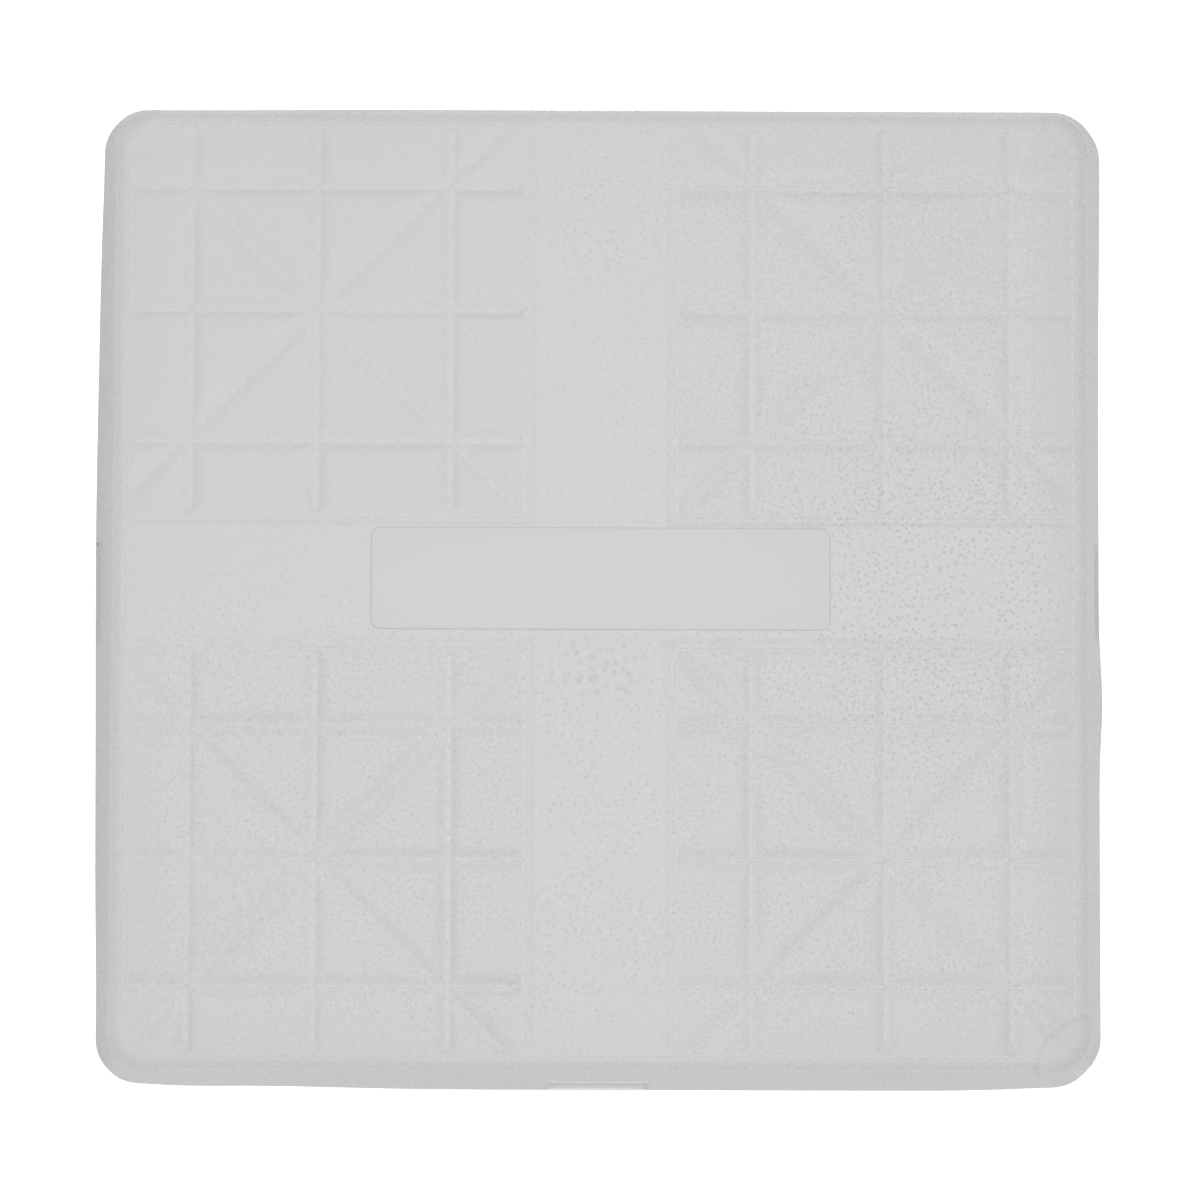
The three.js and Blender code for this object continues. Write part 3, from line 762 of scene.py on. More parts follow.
def rubber_material(settings):
    """Matt white rubber with a fine grain and moulded pits, coarser on the straps."""
    material, wiring, shader = new_material("white rubber, pitted")
    place = wiring.place()
    strap = wiring.attribute("strap")
    wall = wiring.attribute("wall")
    wear = wiring.attribute("wear")
    pits = known_group("moulded pits", make_flat_pits)
    fine = wiring.group(pits, Place=place, Scale=510.0, Radius=0.27, Density=0.95)["Pit"]
    coarse = wiring.group(pits, Place=place, Scale=400.0, Radius=0.24, Density=0.95)["Pit"]
    squeezed = wiring.node("ShaderNodeMapping")
    wiring.set(squeezed.inputs["Vector"], place)
    squeezed.inputs["Scale"].default_value = (1.0, 0.75, 1.0)
    marks = wiring.attribute("marks")
    blots = wiring.group(pits, Place=squeezed.outputs[0], Scale=310.0, Radius=0.38, Density=1.0)["Pit"]
    blot = wiring.math("MULTIPLY", blots, marks)
    top = wiring.math("SUBTRACT", 1.0, wall)
    worn = wiring.math("MULTIPLY", wear, wiring.ramp(wiring.noise(place, 55.0, 2.0), 0.32, 0.5, 0.35, 1.0))
    worn = wiring.math("MULTIPLY", worn, wiring.math("MULTIPLY_ADD", marks, -0.75, 1.0))
    off_strap = wiring.math("MULTIPLY", fine, wiring.math("MULTIPLY_ADD", strap, -0.9, 0.9))
    pit = wiring.math("MULTIPLY_ADD", coarse, strap, off_strap)
    hole = wiring.math("MULTIPLY", wiring.math("MULTIPLY", pit, worn), top)
    crease = patch_crease(wiring, place, CoverShape(settings))
    grain = wiring.math("SUBTRACT", wiring.noise(place, 760.0, 1.0), 0.5)
    height = wiring.math("ADD", hole, wiring.math("MULTIPLY_ADD", blot, 0.6, crease))
    height = wiring.math("MULTIPLY_ADD", grain, 0.15, wiring.math("MULTIPLY", height, -1.0))
    paint = wiring.mottled(place, settings.rubber, 14.0, 0.03)
    # Painted highlight: the colour is paled on the lip and ledge of each panel and on the pebbles' tips.
    polish = wiring.attribute("polish")
    plain = wiring.math("MULTIPLY_ADD", wear, 0.18, 0.04)
    plain = wiring.math("MULTIPLY", plain, wiring.math("MULTIPLY_ADD", strap, -0.3, 1.0))
    # Painted shade: the colour is darkened on the round edge, the walls and the front panel, most on the
    # left wall and towards the ground.
    tone = wiring.math("SUBTRACT", 1.0, wiring.attribute("soil"))
    # Painted shade: hole, blot and crease darken the colour where the pits, the larger marks and the crease
    # sink in.
    changes = (
        (polish, 0.4), (hole, -0.1), (strap, 0.012), (blot, -0.11), (crease, -0.03), (grain, plain),
    )
    for mask, amount in changes:
        tone = wiring.math("MULTIPLY_ADD", mask, amount, tone)
    rough = wiring.math("MULTIPLY_ADD", paint["Mask"], 0.12, 0.5)
    wiring.finish(shader, wiring.scaled(paint["Colour"], tone), rough, height, 0.0002)
    shader["Specular IOR Level"].default_value = 0.35
    return material


# Core and reach of the crease, its strength on the left and at the rear, the run of those changes, and
# the shares of the height between which it grows
CREASE_CORE = 0.0001
CREASE_REACH = 0.0012
CREASE_LEFT = 0.1
CREASE_REAR = 0.7
CREASE_RUN = 0.05
CREASE_LOW = 0.5
CREASE_HIGH = 0.85
PATCH_RUN = 0.01


def patch_crease(wiring, place, shape):
    """The thin crease round the corner patches, plainest on the right half; the cover sinks it and darkens
    its colour as painted shade.
    """
    parts = wiring.node("ShaderNodeSeparateXYZ")
    wiring.set(parts.inputs[0], place)
    x, y, z = parts.outputs
    up = wiring.math("DIVIDE", z, shape.top_height)
    rise = shape.patch_inset - shape.patch_foot_inset
    inset = wiring.math("MULTIPLY_ADD", up, rise, shape.patch_foot_inset)
    level = wiring.math("MULTIPLY_ADD", up, -shape.top_shift, y)
    centre_x = wiring.math("SUBTRACT", shape.half_length, inset)
    centre_y = wiring.math("SUBTRACT", shape.half_width, inset)
    u = wiring.math("SUBTRACT", wiring.math("ABSOLUTE", x), centre_x)
    v = wiring.math("SUBTRACT", wiring.math("ABSOLUTE", level), centre_y)
    reach = wiring.math("SQRT", wiring.math("MULTIPLY_ADD", u, u, wiring.math("MULTIPLY", v, v)))
    reach = wiring.math("SUBTRACT", reach, shape.step_width / 2)
    radius = wiring.ramp(y, -PATCH_RUN, PATCH_RUN, shape.patch_radius, shape.rear_patch)
    gap = wiring.math("ABSOLUTE", wiring.math("SUBTRACT", reach, radius))
    line = wiring.ramp(gap, CREASE_CORE, CREASE_REACH, 1.0, 0.0)
    right = wiring.ramp(x, -CREASE_RUN, CREASE_RUN, CREASE_LEFT, 1.0)
    rear = wiring.ramp(y, -CREASE_RUN, CREASE_RUN, 1.0, CREASE_REAR)
    for part in (right, rear, wiring.ramp(up, CREASE_LOW, CREASE_HIGH)):
        line = wiring.math("MULTIPLY", line, part)
    return line


def plate_material(settings):
    """The same rubber from a polished part of the mould."""
    material, wiring, shader = new_material("white rubber, smooth")
    place = wiring.place()
    paint = wiring.mottled(place, settings.rubber, 9.0, 0.02)
    rough = wiring.math("MULTIPLY_ADD", paint["Mask"], 0.1, 0.5)
    relief = wiring.noise(place, 60.0, 2.0)
    wiring.finish(shader, wiring.scaled(paint["Colour"], 1.02), rough, relief, 0.00006)
    shader["Specular IOR Level"].default_value = 0.25
    return material


def stitch_material(settings):
    """The same rubber on the moulded stitches, a little glossier, and painted paler the more a stitch stands
    out: a painted highlight.
    """
    material, wiring, shader = new_material("white rubber, stitches")
    place = wiring.place()
    paint = wiring.mottled(place, settings.rubber, 20.0, 0.03)
    # Painted highlight: the colour is paled by the stitch's share of the full rise.
    lift = wiring.math("POWER", wiring.attribute("share"), 2.0)
    pale = wiring.math("MULTIPLY_ADD", lift, 0.07, 1.0)
    rough = wiring.math("MULTIPLY_ADD", paint["Mask"], 0.1, 0.42)
    relief = wiring.noise(place, 1800.0, 1.0)
    wiring.finish(shader, wiring.scaled(paint["Colour"], pale), rough, relief, 0.00003)
    shader["Specular IOR Level"].default_value = 0.35
    return material


def steel_material(name, paint, rough, spangle):
    """Plated steel with the flakes of its zinc and fine scuffs."""
    material, wiring, shader = new_material(name)
    place = wiring.place()
    flakes = wiring.voronoi(place, spangle)
    parts = wiring.node("ShaderNodeSeparateColor")
    wiring.set(parts.inputs[0], flakes.outputs["Color"])
    tone = wiring.mottled(place, paint, 30.0, 0.16)
    scuffs = known_group("scuffs", make_scuffs)
    scuff = wiring.group(scuffs, Place=place, Scale=240.0)["Scuff"]
    bright = (*[min(1.0, value * 1.35) for value in paint], 1.0)
    worn = wiring.mix(wiring.math("MULTIPLY", scuff, 0.45), tone["Colour"], bright)
    flake = wiring.math("MULTIPLY_ADD", parts.outputs[0], 0.16, rough)
    rough = wiring.math("MULTIPLY_ADD", scuff, -0.1, flake)
    wiring.finish(shader, worn, rough, tone["Mask"], 0.00004)
    shader["Metallic"].default_value = 1.0
    return material


def brass_material(settings):
    """Turned brass of the threaded inserts."""
    material, wiring, shader = new_material("turned brass")
    place = wiring.place()
    tone = wiring.mottled(place, settings.brass, 80.0, 0.2)
    wave = wiring.node("ShaderNodeTexWave", bands_direction="Z")
    wiring.set(wave.inputs["Vector"], place)
    wave.inputs["Scale"].default_value = 420.0
    rough = wiring.math("MULTIPLY_ADD", tone["Mask"], 0.2, 0.25)
    wiring.finish(shader, tone["Colour"], rough, wave.outputs["Fac"], 0.00003)
    shader["Metallic"].default_value = 1.0
    return material


def sheet_material(settings):
    """Black pressed sheet with a leather-like grain and light scuffs."""
    material, wiring, shader = new_material("black pressed sheet")
    place = wiring.place()
    cells = wiring.voronoi(place, 620.0, "SMOOTH_F1").outputs["Distance"]
    tone = wiring.mottled(place, settings.sheet, 25.0, 0.5)
    scuffs = known_group("scuffs", make_scuffs)
    scuff = wiring.group(scuffs, Place=place, Scale=160.0)["Scuff"]
    pale = (*[value * 3.2 for value in settings.sheet], 1.0)
    worn = wiring.mix(wiring.math("MULTIPLY", scuff, 0.35), tone["Colour"], pale)
    rough = wiring.math("MULTIPLY_ADD", tone["Mask"], 0.2, 0.5)
    wiring.finish(shader, worn, rough, cells, 0.00022)
    return material


def foam_material(settings):
    """Closed-cell foam: small bubbles cut open at the faces, their colour darkened as painted shade."""
    material, wiring, shader = new_material("closed-cell foam")
    place = wiring.place()
    pits = known_group("bubbles", make_pits)
    bubble = wiring.group(pits, Place=place, Scale=700.0, Radius=0.6, Density=0.9)["Pit"]
    tone = wiring.mottled(place, settings.foam, 40.0, 0.12)
    dark = wiring.scaled(tone["Colour"], 0.7)
    rough = wiring.math("MULTIPLY_ADD", tone["Mask"], 0.1, 0.85)
    relief = wiring.math("SUBTRACT", 1.0, bubble)
    wiring.finish(shader, wiring.mix(bubble, tone["Colour"], dark), rough, relief, 0.0004)
    return material


def dress(node, material):
    """Gives a CAD node a finish."""
    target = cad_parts[node]
    if target.material_slots:
        target.material_slots[0].material = material
    else:
        target.data.materials.append(material)


# Plainness of the pits at the front left, the rear left, the right and the border, and the runs between
PITS_FRONT_LEFT = 0.6
PITS_REAR_LEFT = 0.28
PITS_RIGHT = 0.65
PITS_BORDER = 0.6
PITS_REAR_RUN = 0.06
PITS_RIGHT_START = -0.05
PITS_RIGHT_RUN = 0.14
PITS_BORDER_RUN = 0.02
# Clusters of plainer pits: place, spread and amount
PIT_CLUSTERS = ((0.0, 0.135, 0.022, 0.4), (0.125, 0.0, 0.05, 0.6))
# Patch of larger marks: place, half sizes, strength at its middle and fall to its edge
MARK_X, MARK_Y = -0.0025, -0.0310
MARK_HALF_X, MARK_HALF_Y = 0.018, 0.011
MARK_FULL, MARK_FALL = 2.2, 1.6
# Soft edge of a strap, drop below the top where a wall starts, and the run to its full strength
STRAP_SOFT = 0.002
WALL_START = 0.001
WALL_RUN = 0.008


def pit_strength(x, y, gap):
    """How plainly the pits show on the top: more on the right and in a few clusters, less at the border."""
    left = blend(PITS_FRONT_LEFT, PITS_REAR_LEFT, soft_step(y / PITS_REAR_RUN + 0.5))
    strength = blend(left, PITS_RIGHT, soft_step((x - PITS_RIGHT_START) / PITS_RIGHT_RUN))
    for centre_x, centre_y, spread, more in PIT_CLUSTERS:
        off = math.hypot(x - centre_x, y - centre_y) / spread
        strength += more * math.exp(-off * off)
    return clamp(strength) * blend(PITS_BORDER, 1.0, soft_step(gap / PITS_BORDER_RUN))


def mark_strength(x, y):
    """How plainly the larger soft marks show: in one patch on the long strap, below the plate."""
    across = (x - MARK_X) / MARK_HALF_X
    along = (y - MARK_Y) / MARK_HALF_Y
    return soft_step(MARK_FULL - MARK_FALL * math.hypot(across, along))


def paint_marks(bm, shape):
    """Keeps on each vertex its share of a strap and a wall, how plain its pits are, how dark its painted
    shade and how pale its painted highlight are, and how plain the larger marks are.
    """
    names = ("strap", "wall", "wear", "soil", "polish", "marks")
    for name in names:
        bm.verts.layers.float.new(name)
    strap, wall, wear, soil, polish, marks = (bm.verts.layers.float[name] for name in names)
    for vertex in bm.verts:
        x, y, z = vertex.co
        over_long = soft_step((shape.long_strap / 2 - abs(x)) / STRAP_SOFT + 0.5)
        over_cross = soft_step((shape.cross_strap / 2 - abs(y)) / STRAP_SOFT + 0.5)
        vertex[strap] = max(over_long, over_cross)
        vertex[wall] = soft_step((shape.top_height - WALL_START - z) / WALL_RUN)
        vertex[wear] = pit_strength(x, y, shape.border_gap(x, y))
        vertex[soil] = shape.soil(x, y, z)
        vertex[polish] = shape.polish(x, y, z)
        vertex[marks] = mark_strength(x, y)


def add_inside(bm):
    """Adds the rebate, ribs and bosses from a merged copy of the CAD cover, up to its rim."""
    inside = merged_copy("rubber_cover")
    rim = [face for face in inside.faces if face.normal.z < -0.999 and face.calc_center_median().z < 1e-5]
    if not rim:
        raise RuntimeError("the CAD cover has no rim on the ground")
    bmesh.ops.delete(inside, geom=rim, context="FACES_ONLY")
    outside = {max(inside.verts, key=lambda vertex: vertex.co.z)}
    waiting = list(outside)
    while waiting:
        for edge in waiting.pop().link_edges:
            for vertex in edge.verts:
                if edge.link_faces and vertex not in outside:
                    outside.add(vertex)
                    waiting.append(vertex)
    bmesh.ops.delete(inside, geom=list(outside), context="VERTS")
    stray = [edge for edge in inside.edges if not edge.link_faces]
    bmesh.ops.delete(inside, geom=stray, context="EDGES")
    mesh = bpy.data.meshes.new("inside")
    inside.to_mesh(mesh)
    inside.free()
    bm.from_mesh(mesh)
    bpy.data.meshes.remove(mesh)
    bmesh.ops.triangle_fill(bm, use_beauty=True, edges=outer_edges(bm), normal=(0, 0, -1))


class BASE_OT_quilted_cover(bpy.types.Operator):
    """Model the rubber cover: quilted top, round edges, leaning walls and its ribbed inside"""

    bl_idname = "base.quilted_cover"
    bl_label = "Quilted cover"

    def execute(self, context):
        settings = context.scene.base_cover
        shape = CoverShape(settings)
        bm = bmesh.new()
        lines_x = shape.mesh_lines(shape.border_x, shape.long_strap)
        lines_y = shape.mesh_lines(shape.border_y, shape.cross_strap)
        columns = len(lines_x) - 1
        rows = len(lines_y) - 1
        bmesh.ops.create_grid(bm, x_segments=2 * columns, y_segments=2 * rows, size=1)
        anchor = bm.verts.layers.float_vector.new("anchor")
        outward = bm.verts.layers.float_vector.new("outward")
        straight_x = shape.border_x - shape.top_corner
        straight_y = shape.border_y - shape.top_corner
        for vertex in bm.verts:
            flat_x = math.copysign(lines_x[round(abs(vertex.co.x) * columns)], vertex.co.x)
            flat_y = math.copysign(lines_y[round(abs(vertex.co.y) * rows)], vertex.co.y)
            x, y, centre_x, centre_y = shape.rounded(flat_x, flat_y)
            vertex[anchor] = Vector((centre_x / straight_x, centre_y / straight_y, 0))
            vertex[outward] = Vector((x - centre_x, y - centre_y, 0)).normalized()
            vertex.co = shape.top_point(x, y + shape.top_shift)
        loop = outer_edges(bm)
        for ring in shape.rings():
            vertices, loop = next_loop(bm, loop)
            for vertex in vertices:
                vertex.co = shape.wall_point(vertex[anchor], vertex[outward], ring)
        bm.verts.layers.float_vector.remove(anchor)
        outward = bm.verts.layers.float_vector["outward"]
        bm.verts.layers.float_vector.remove(outward)
        add_inside(bm)
        bmesh.ops.recalc_face_normals(bm, faces=bm.faces)
        paint_marks(bm, shape)
        cover = finish_piece(bm, "quilted_cover", rubber_material(settings))
        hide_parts("rubber_cover")
        return {"FINISHED"}


def row_places(start, stop, pitch):
    """Even places of the stitches of one row, and the row's direction."""
    run = stop - start
    count = int(run.length / pitch)
    direction = run.normalized()
    first = (run.length - (count - 1) * pitch) / 2
    return [start + direction * (first + pitch * number) for number in range(count)], direction


def quilt_rows(shape, settings):
    """The rows of one quadrant, measured from the strap edges: start, stop and kind."""
    side = shape.side
    rows = []
    for offset in (settings.strap_shift, *shape.seams):
        rows.append((Vector((0, offset)), Vector((side, offset)), "across"))
        rows.append((Vector((offset, 0)), Vector((offset, side)), "along"))
    far = 2 * shape.seam_middle - side
    rows.append((Vector((0, 0)), Vector((side, side)), "out"))
    rows.append((Vector((far, side)), Vector((side, far)), "round"))
    return rows


def unit_stitch():
    """A round stitch of radius 1 with room for its share, to be copied and flattened."""
    bm = bmesh.new()
    bm.verts.layers.float.new("share")
    bmesh.ops.create_uvsphere(bm, u_segments=10, v_segments=4, radius=1)
    mesh = bpy.data.meshes.new("stitch")
    bm.to_mesh(mesh)
    bm.free()
    return mesh


def add_stitch(bm, unit, place, direction, settings, part):
    """Adds one stitch: a flat oval that stands out of its seam by a share of the full rise."""
    turn = Matrix.Rotation(math.atan2(direction.y, direction.x), 4, "Z")
    size = Matrix.Diagonal((settings.long_side / 2, settings.short_side / 2, settings.rise * part, 1))
    stitch = unit.copy()
    stitch.transform(Matrix.Translation(place) @ turn @ size)
    for value in stitch.attributes["share"].data:
        value.value = part
    bm.from_mesh(stitch)
    bpy.data.meshes.remove(stitch)


class BASE_OT_stitching(bpy.types.Operator):
    """Model the moulded stitches that run in the seams, beside the straps and round the top"""

    bl_idname = "base.stitching"
    bl_label = "Stitching"

    # How plainly the rows of a quadrant, of a kind and round the top show, both in their rise and in their
    # painted highlight
    QUADRANTS = {"front_left": 0.32, "front_right": 1.0, "rear_left": 0.1, "rear_right": 0.4}
    KINDS = {"across": 1.0, "along": 0.2, "out": 1.0, "round": 1.0}
    BORDER = 0.8

    def execute(self, context):
        settings = context.scene.base_stitches
        shape = CoverShape(context.scene.base_cover)
        material = stitch_material(context.scene.base_cover)
        unit = unit_stitch()
        for name, (side_x, side_y) in CORNERS.items():
            bm = bmesh.new()
            bm.verts.layers.float.new("share")
            for start, stop, kind in quilt_rows(shape, settings):
                part = self.QUADRANTS[name] * self.KINDS[kind]
                places, direction = row_places(start, stop, settings.pitch)
                for place in places:
                    if kind in ("out", "round") and self.meets_seam(shape, settings, place):
                        continue
                    x = side_x * (shape.long_strap / 2 + place.x)
                    v = place.y * shape.rear_share if side_y > 0 else place.y
                    y = side_y * (shape.cross_strap / 2 + v)
                    if shape.border_gap(x, y) < settings.clear or shape.patch(x, y, shape.top_height) > 0:
                        continue
                    run = Vector((side_x * direction.x, side_y * direction.y))
                    add_stitch(bm, unit, shape.top_point(x, y), run, settings, part)
            finish_piece(bm, f"stitching_{name}", material, smooth_angle=60)
        border = self.border(shape, settings, unit)
        finish_piece(border, "stitching_border", material, smooth_angle=60)
        bpy.data.meshes.remove(unit)
        return {"FINISHED"}

    def meets_seam(self, shape, settings, place):
        """Whether a slanting stitch would lie on a straight row."""
        lines = (settings.strap_shift, *shape.seams)
        return any(abs(value - line) < settings.clear for line in lines for value in place)

    def border(self, shape, settings, unit):
        """The rows along the four sides of the top."""
        bm = bmesh.new()
        bm.verts.layers.float.new("share")
        far_x = shape.border_x - settings.border_shift
        far_y = shape.border_y - settings.border_shift
        shift = Vector((0, shape.top_shift))
        end_x = shape.border_x - shape.top_corner
        end_y = shape.border_y - shape.top_corner
        for side in (-1, 1):
            for start, stop in (
                (Vector((side * far_x, -end_y)), Vector((side * far_x, end_y))),
                (Vector((-end_x, side * far_y)), Vector((end_x, side * far_y))),
            ):
                places, direction = row_places(start, stop, settings.pitch)
                for place in places:
                    point = shape.top_point(*(place + shift))
                    add_stitch(bm, unit, point, direction, settings, self.BORDER)
        return bm


def applied(context, rough):
    """A bmesh of an object with its modifiers applied. The object is removed."""
    evaluated = rough.evaluated_get(context.evaluated_depsgraph_get())
    bm = bmesh.new()
    bm.from_mesh(evaluated.to_mesh())
    evaluated.to_mesh_clear()
    mesh = rough.data
    bpy.data.objects.remove(rough)
    bpy.data.meshes.remove(mesh)
    return bm


class BASE_OT_pebbled_walls(bpy.types.Operator):
    """Model the small pebbles that stand out of the four walls"""

    bl_idname = "base.pebbled_walls"
    bl_label = "Pebbled walls"

    # Spacing on the level sheet, sides of a pebble, and its scatter as a share of the pitch
    SPREAD = 4
    SIDES = 6
    SCATTER = 1.3
    LEAST, MOST = 0.55, 1.35
    # Painted highlight on the tips on a wall and on the round edge, and the slopes between which it changes
    PALE = 1.0
    EDGE_TIP_HIGHLIGHT = 0.4
    EDGE_START = 0.15
    EDGE_RUN = 0.5

    def execute(self, context):
        settings = context.scene.base_pebbles
        shape = CoverShape(context.scene.base_cover)
        material = bpy.data.objects["quilted_cover"].data.materials[0]
        rows = int((settings.high - settings.low) / settings.row_pitch)
        for name, (facing_x, facing_y) in WALLS.items():
            wall = WallRun(shape, Vector((facing_x, facing_y, 0)))
            columns = int((wall.straight + wall.arc) / settings.pitch)
            bm = self.sheet(context, columns, rows)
            self.seat(bm, wall, settings)
            finish_piece(bm, f"pebbles_{name}", material, smooth_angle=60)
        return {"FINISHED"}

    def sheet(self, context, columns, rows):
        """Rows of closed cones of radius 1 and height 1 on a level sheet."""
        bm = bmesh.new()
        bmesh.ops.create_cone(
            bm, cap_ends=True, segments=self.SIDES, radius1=1, radius2=0, depth=1,
            matrix=Matrix.Translation((0, 0, 0.5)),
        )
        rough = plain_object(bm, "pebble")
        for count, offset in ((columns, (self.SPREAD, 0, 0)), (rows, (0, self.SPREAD, 0))):
            array = rough.modifiers.new("repeat", "ARRAY")
            array.use_relative_offset = False
            array.use_constant_offset = True
            array.constant_offset_displace = offset
            array.count = count
        return applied(context, rough)

    def seat(self, bm, wall, settings):
        """Moves the cones of a sheet to scattered places on a wall and takes away those on its panel."""
        soil = bm.verts.layers.float.new("soil")
        walls = bm.verts.layers.float.new("wall")
        polish = bm.verts.layers.float.new("polish")
        spots = {}
        bare = []
        for vertex in bm.verts:
            column = round(vertex.co.x / self.SPREAD)
            row = round(vertex.co.y / self.SPREAD)
            if (column, row) not in spots:
                spots[column, row] = self.spot(wall, settings, column, row)
            if spots[column, row] is None:
                bare.append(vertex)
                continue
            point, side, up, normal, size, dark, pale = spots[column, row]
            across = (vertex.co.x - self.SPREAD * column) * size * settings.radius
            along = (vertex.co.y - self.SPREAD * row) * size * settings.radius
            rise = vertex.co.z * size * settings.rise - settings.sunk
            # Painted highlight: the pebble is painted paler towards its tip.
            vertex[polish] = vertex.co.z * pale
            vertex.co = point + across * side + along * up + rise * normal
            # Painted shade of the wall under the pebble.
            vertex[soil] = dark
            vertex[walls] = 1.0
        bmesh.ops.delete(bm, geom=bare, context="VERTS")

    def spot(self, wall, settings, column, row):
        """Place, directions, size, painted shade and painted highlight of one pebble, or None on the sunk
        panel.
        """
        seed = Vector((column + 0.5, row + 0.5, 8 * wall.facing.x + 4 * wall.facing.y + 0.5))
        chance = noise.cell_vector(seed)
        across = settings.pitch * (column + 0.5 * (row % 2) + self.SCATTER * (chance.x - 0.5))
        run = settings.low + settings.row_pitch * (row + self.SCATTER * chance.y)
        point, outward, lean, sunk = wall.point(across, run)
        if sunk:
            return None
        normal = outward * math.cos(lean) + Vector((0, 0, math.sin(lean)))
        side = Vector((-outward.y, outward.x, 0))
        size = blend(self.LEAST, self.MOST, chance.z)
        over = soft_step((normal.z - self.EDGE_START) / self.EDGE_RUN)
        pale = blend(self.PALE, self.EDGE_TIP_HIGHLIGHT, over)
        return point, side, normal.cross(side), normal, size, wall.shape.soil(*point), pale


class WallRun:
    """One wall and the corner after it, measured along the outline."""

    def __init__(self, shape, facing):
        self.shape = shape
        self.facing = facing
        self.tangent = Vector((-facing.y, facing.x, 0))
        half = abs(self.tangent.x) * shape.half_length + abs(self.tangent.y) * shape.half_width
        self.radius = (shape.corner_radius + shape.top_corner) / 2
        self.straight = 2 * (half - shape.edge_inset / 2 - self.radius)
        self.arc = self.radius * math.pi / 2

    def point(self, across, up):
        """A point along the run and up the wall, its way, its lean and whether it lies on the panel."""
        turn = clamp((across - self.straight) / self.radius, 0.0, math.pi / 2)
        part = clamp(2 * across / self.straight - 1, -1.0, 1.0)
        outward = self.facing * math.cos(turn) + self.tangent * math.sin(turn)
        ring = self.shape.ring_at(up)
        found = self.shape.wall_point(self.facing + self.tangent * part, outward, ring)
        along = found.y if abs(outward.x) > abs(outward.y) else found.x
        return found, outward, ring[2], self.shape.panel(along, ring[1]) != 0


class BASE_OT_bare_plate(bpy.types.Operator):
    """Model the smooth bare plate on the crossing of the straps"""

    bl_idname = "base.bare_plate"
    bl_label = "Bare plate"

    def execute(self, context):
        settings = context.scene.base_plate
        top = context.scene.base_cover.top_height
        bm = bmesh.new()
        bmesh.ops.create_grid(bm, x_segments=1, y_segments=1, size=0.5)
        bmesh.ops.scale(bm, vec=(settings.plate_length, settings.plate_width, 1), verts=bm.verts)
        bmesh.ops.bevel(
            bm, geom=list(bm.verts), offset=settings.radius, segments=8, profile=0.5,
            affect="VERTICES", material=-1,
        )
        bmesh.ops.translate(bm, vec=(0, settings.shift, top - settings.rise), verts=bm.verts)
        made = bmesh.ops.extrude_face_region(bm, geom=list(bm.faces))["geom"]
        bmesh.ops.translate(bm, vec=(0, 0, 2 * settings.rise), verts=new_vertices(made))
        level = top + settings.rise / 2
        rim = [edge for edge in bm.edges if all(vertex.co.z > level for vertex in edge.verts)]
        bmesh.ops.bevel(
            bm, geom=rim, offset=settings.edge, segments=3, profile=0.5, affect="EDGES", material=-1
        )
        bmesh.ops.recalc_face_normals(bm, faces=bm.faces)
        material = plate_material(context.scene.base_cover)
        finish_piece(bm, "bare_plate", material, smooth_angle=50)
        return {"FINISHED"}


class BASE_OT_foam_pads(bpy.types.Operator):
    """Model the four soft-edged foam blocks inside the cover"""

    bl_idname = "base.foam_pads"
    bl_label = "Foam pads"

    VOXEL = 0.0035
    SMOOTH_STEPS = 4

    def execute(self, context):
        material = foam_material(context.scene.base_steel)
        for name in CORNERS:
            rough = plain_object(merged_copy(f"foam_pad_{name}"), "foam")
            remesh = rough.modifiers.new("voxels", "REMESH")
            remesh.mode = "VOXEL"
            remesh.voxel_size = self.VOXEL
            bm = applied(context, rough)
            for _ in range(self.SMOOTH_STEPS):
                bmesh.ops.smooth_vert(
                    bm, verts=bm.verts, factor=0.5, use_axis_x=True, use_axis_y=True, use_axis_z=True
                )
            pad = finish_piece(bm, f"foam_block_{name}", material, smooth_angle=80)
            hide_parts(f"foam_pad_{name}")
        return {"FINISHED"}


# Turns below which faces count as one, and above which an edge of a plate is sharp
FLAT_TURN = math.radians(2)
SHARP_TURN = math.radians(50)


def broken_edges(node, name, material, width):
    """A copy of a CAD plate with its sharp edges broken."""
    bm = merged_copy(node)
    bmesh.ops.dissolve_limit(bm, angle_limit=FLAT_TURN, verts=bm.verts, edges=bm.edges)
    sharp = [edge for edge in bm.edges if edge.is_manifold and edge.calc_face_angle(0) > SHARP_TURN]
    bmesh.ops.bevel(
        bm, geom=sharp, offset=width, segments=2, profile=0.5, affect="EDGES", material=-1,
        clamp_overlap=True,
    )
    piece = finish_piece(bm, name, material, smooth_angle=20)
    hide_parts(node)
    return piece


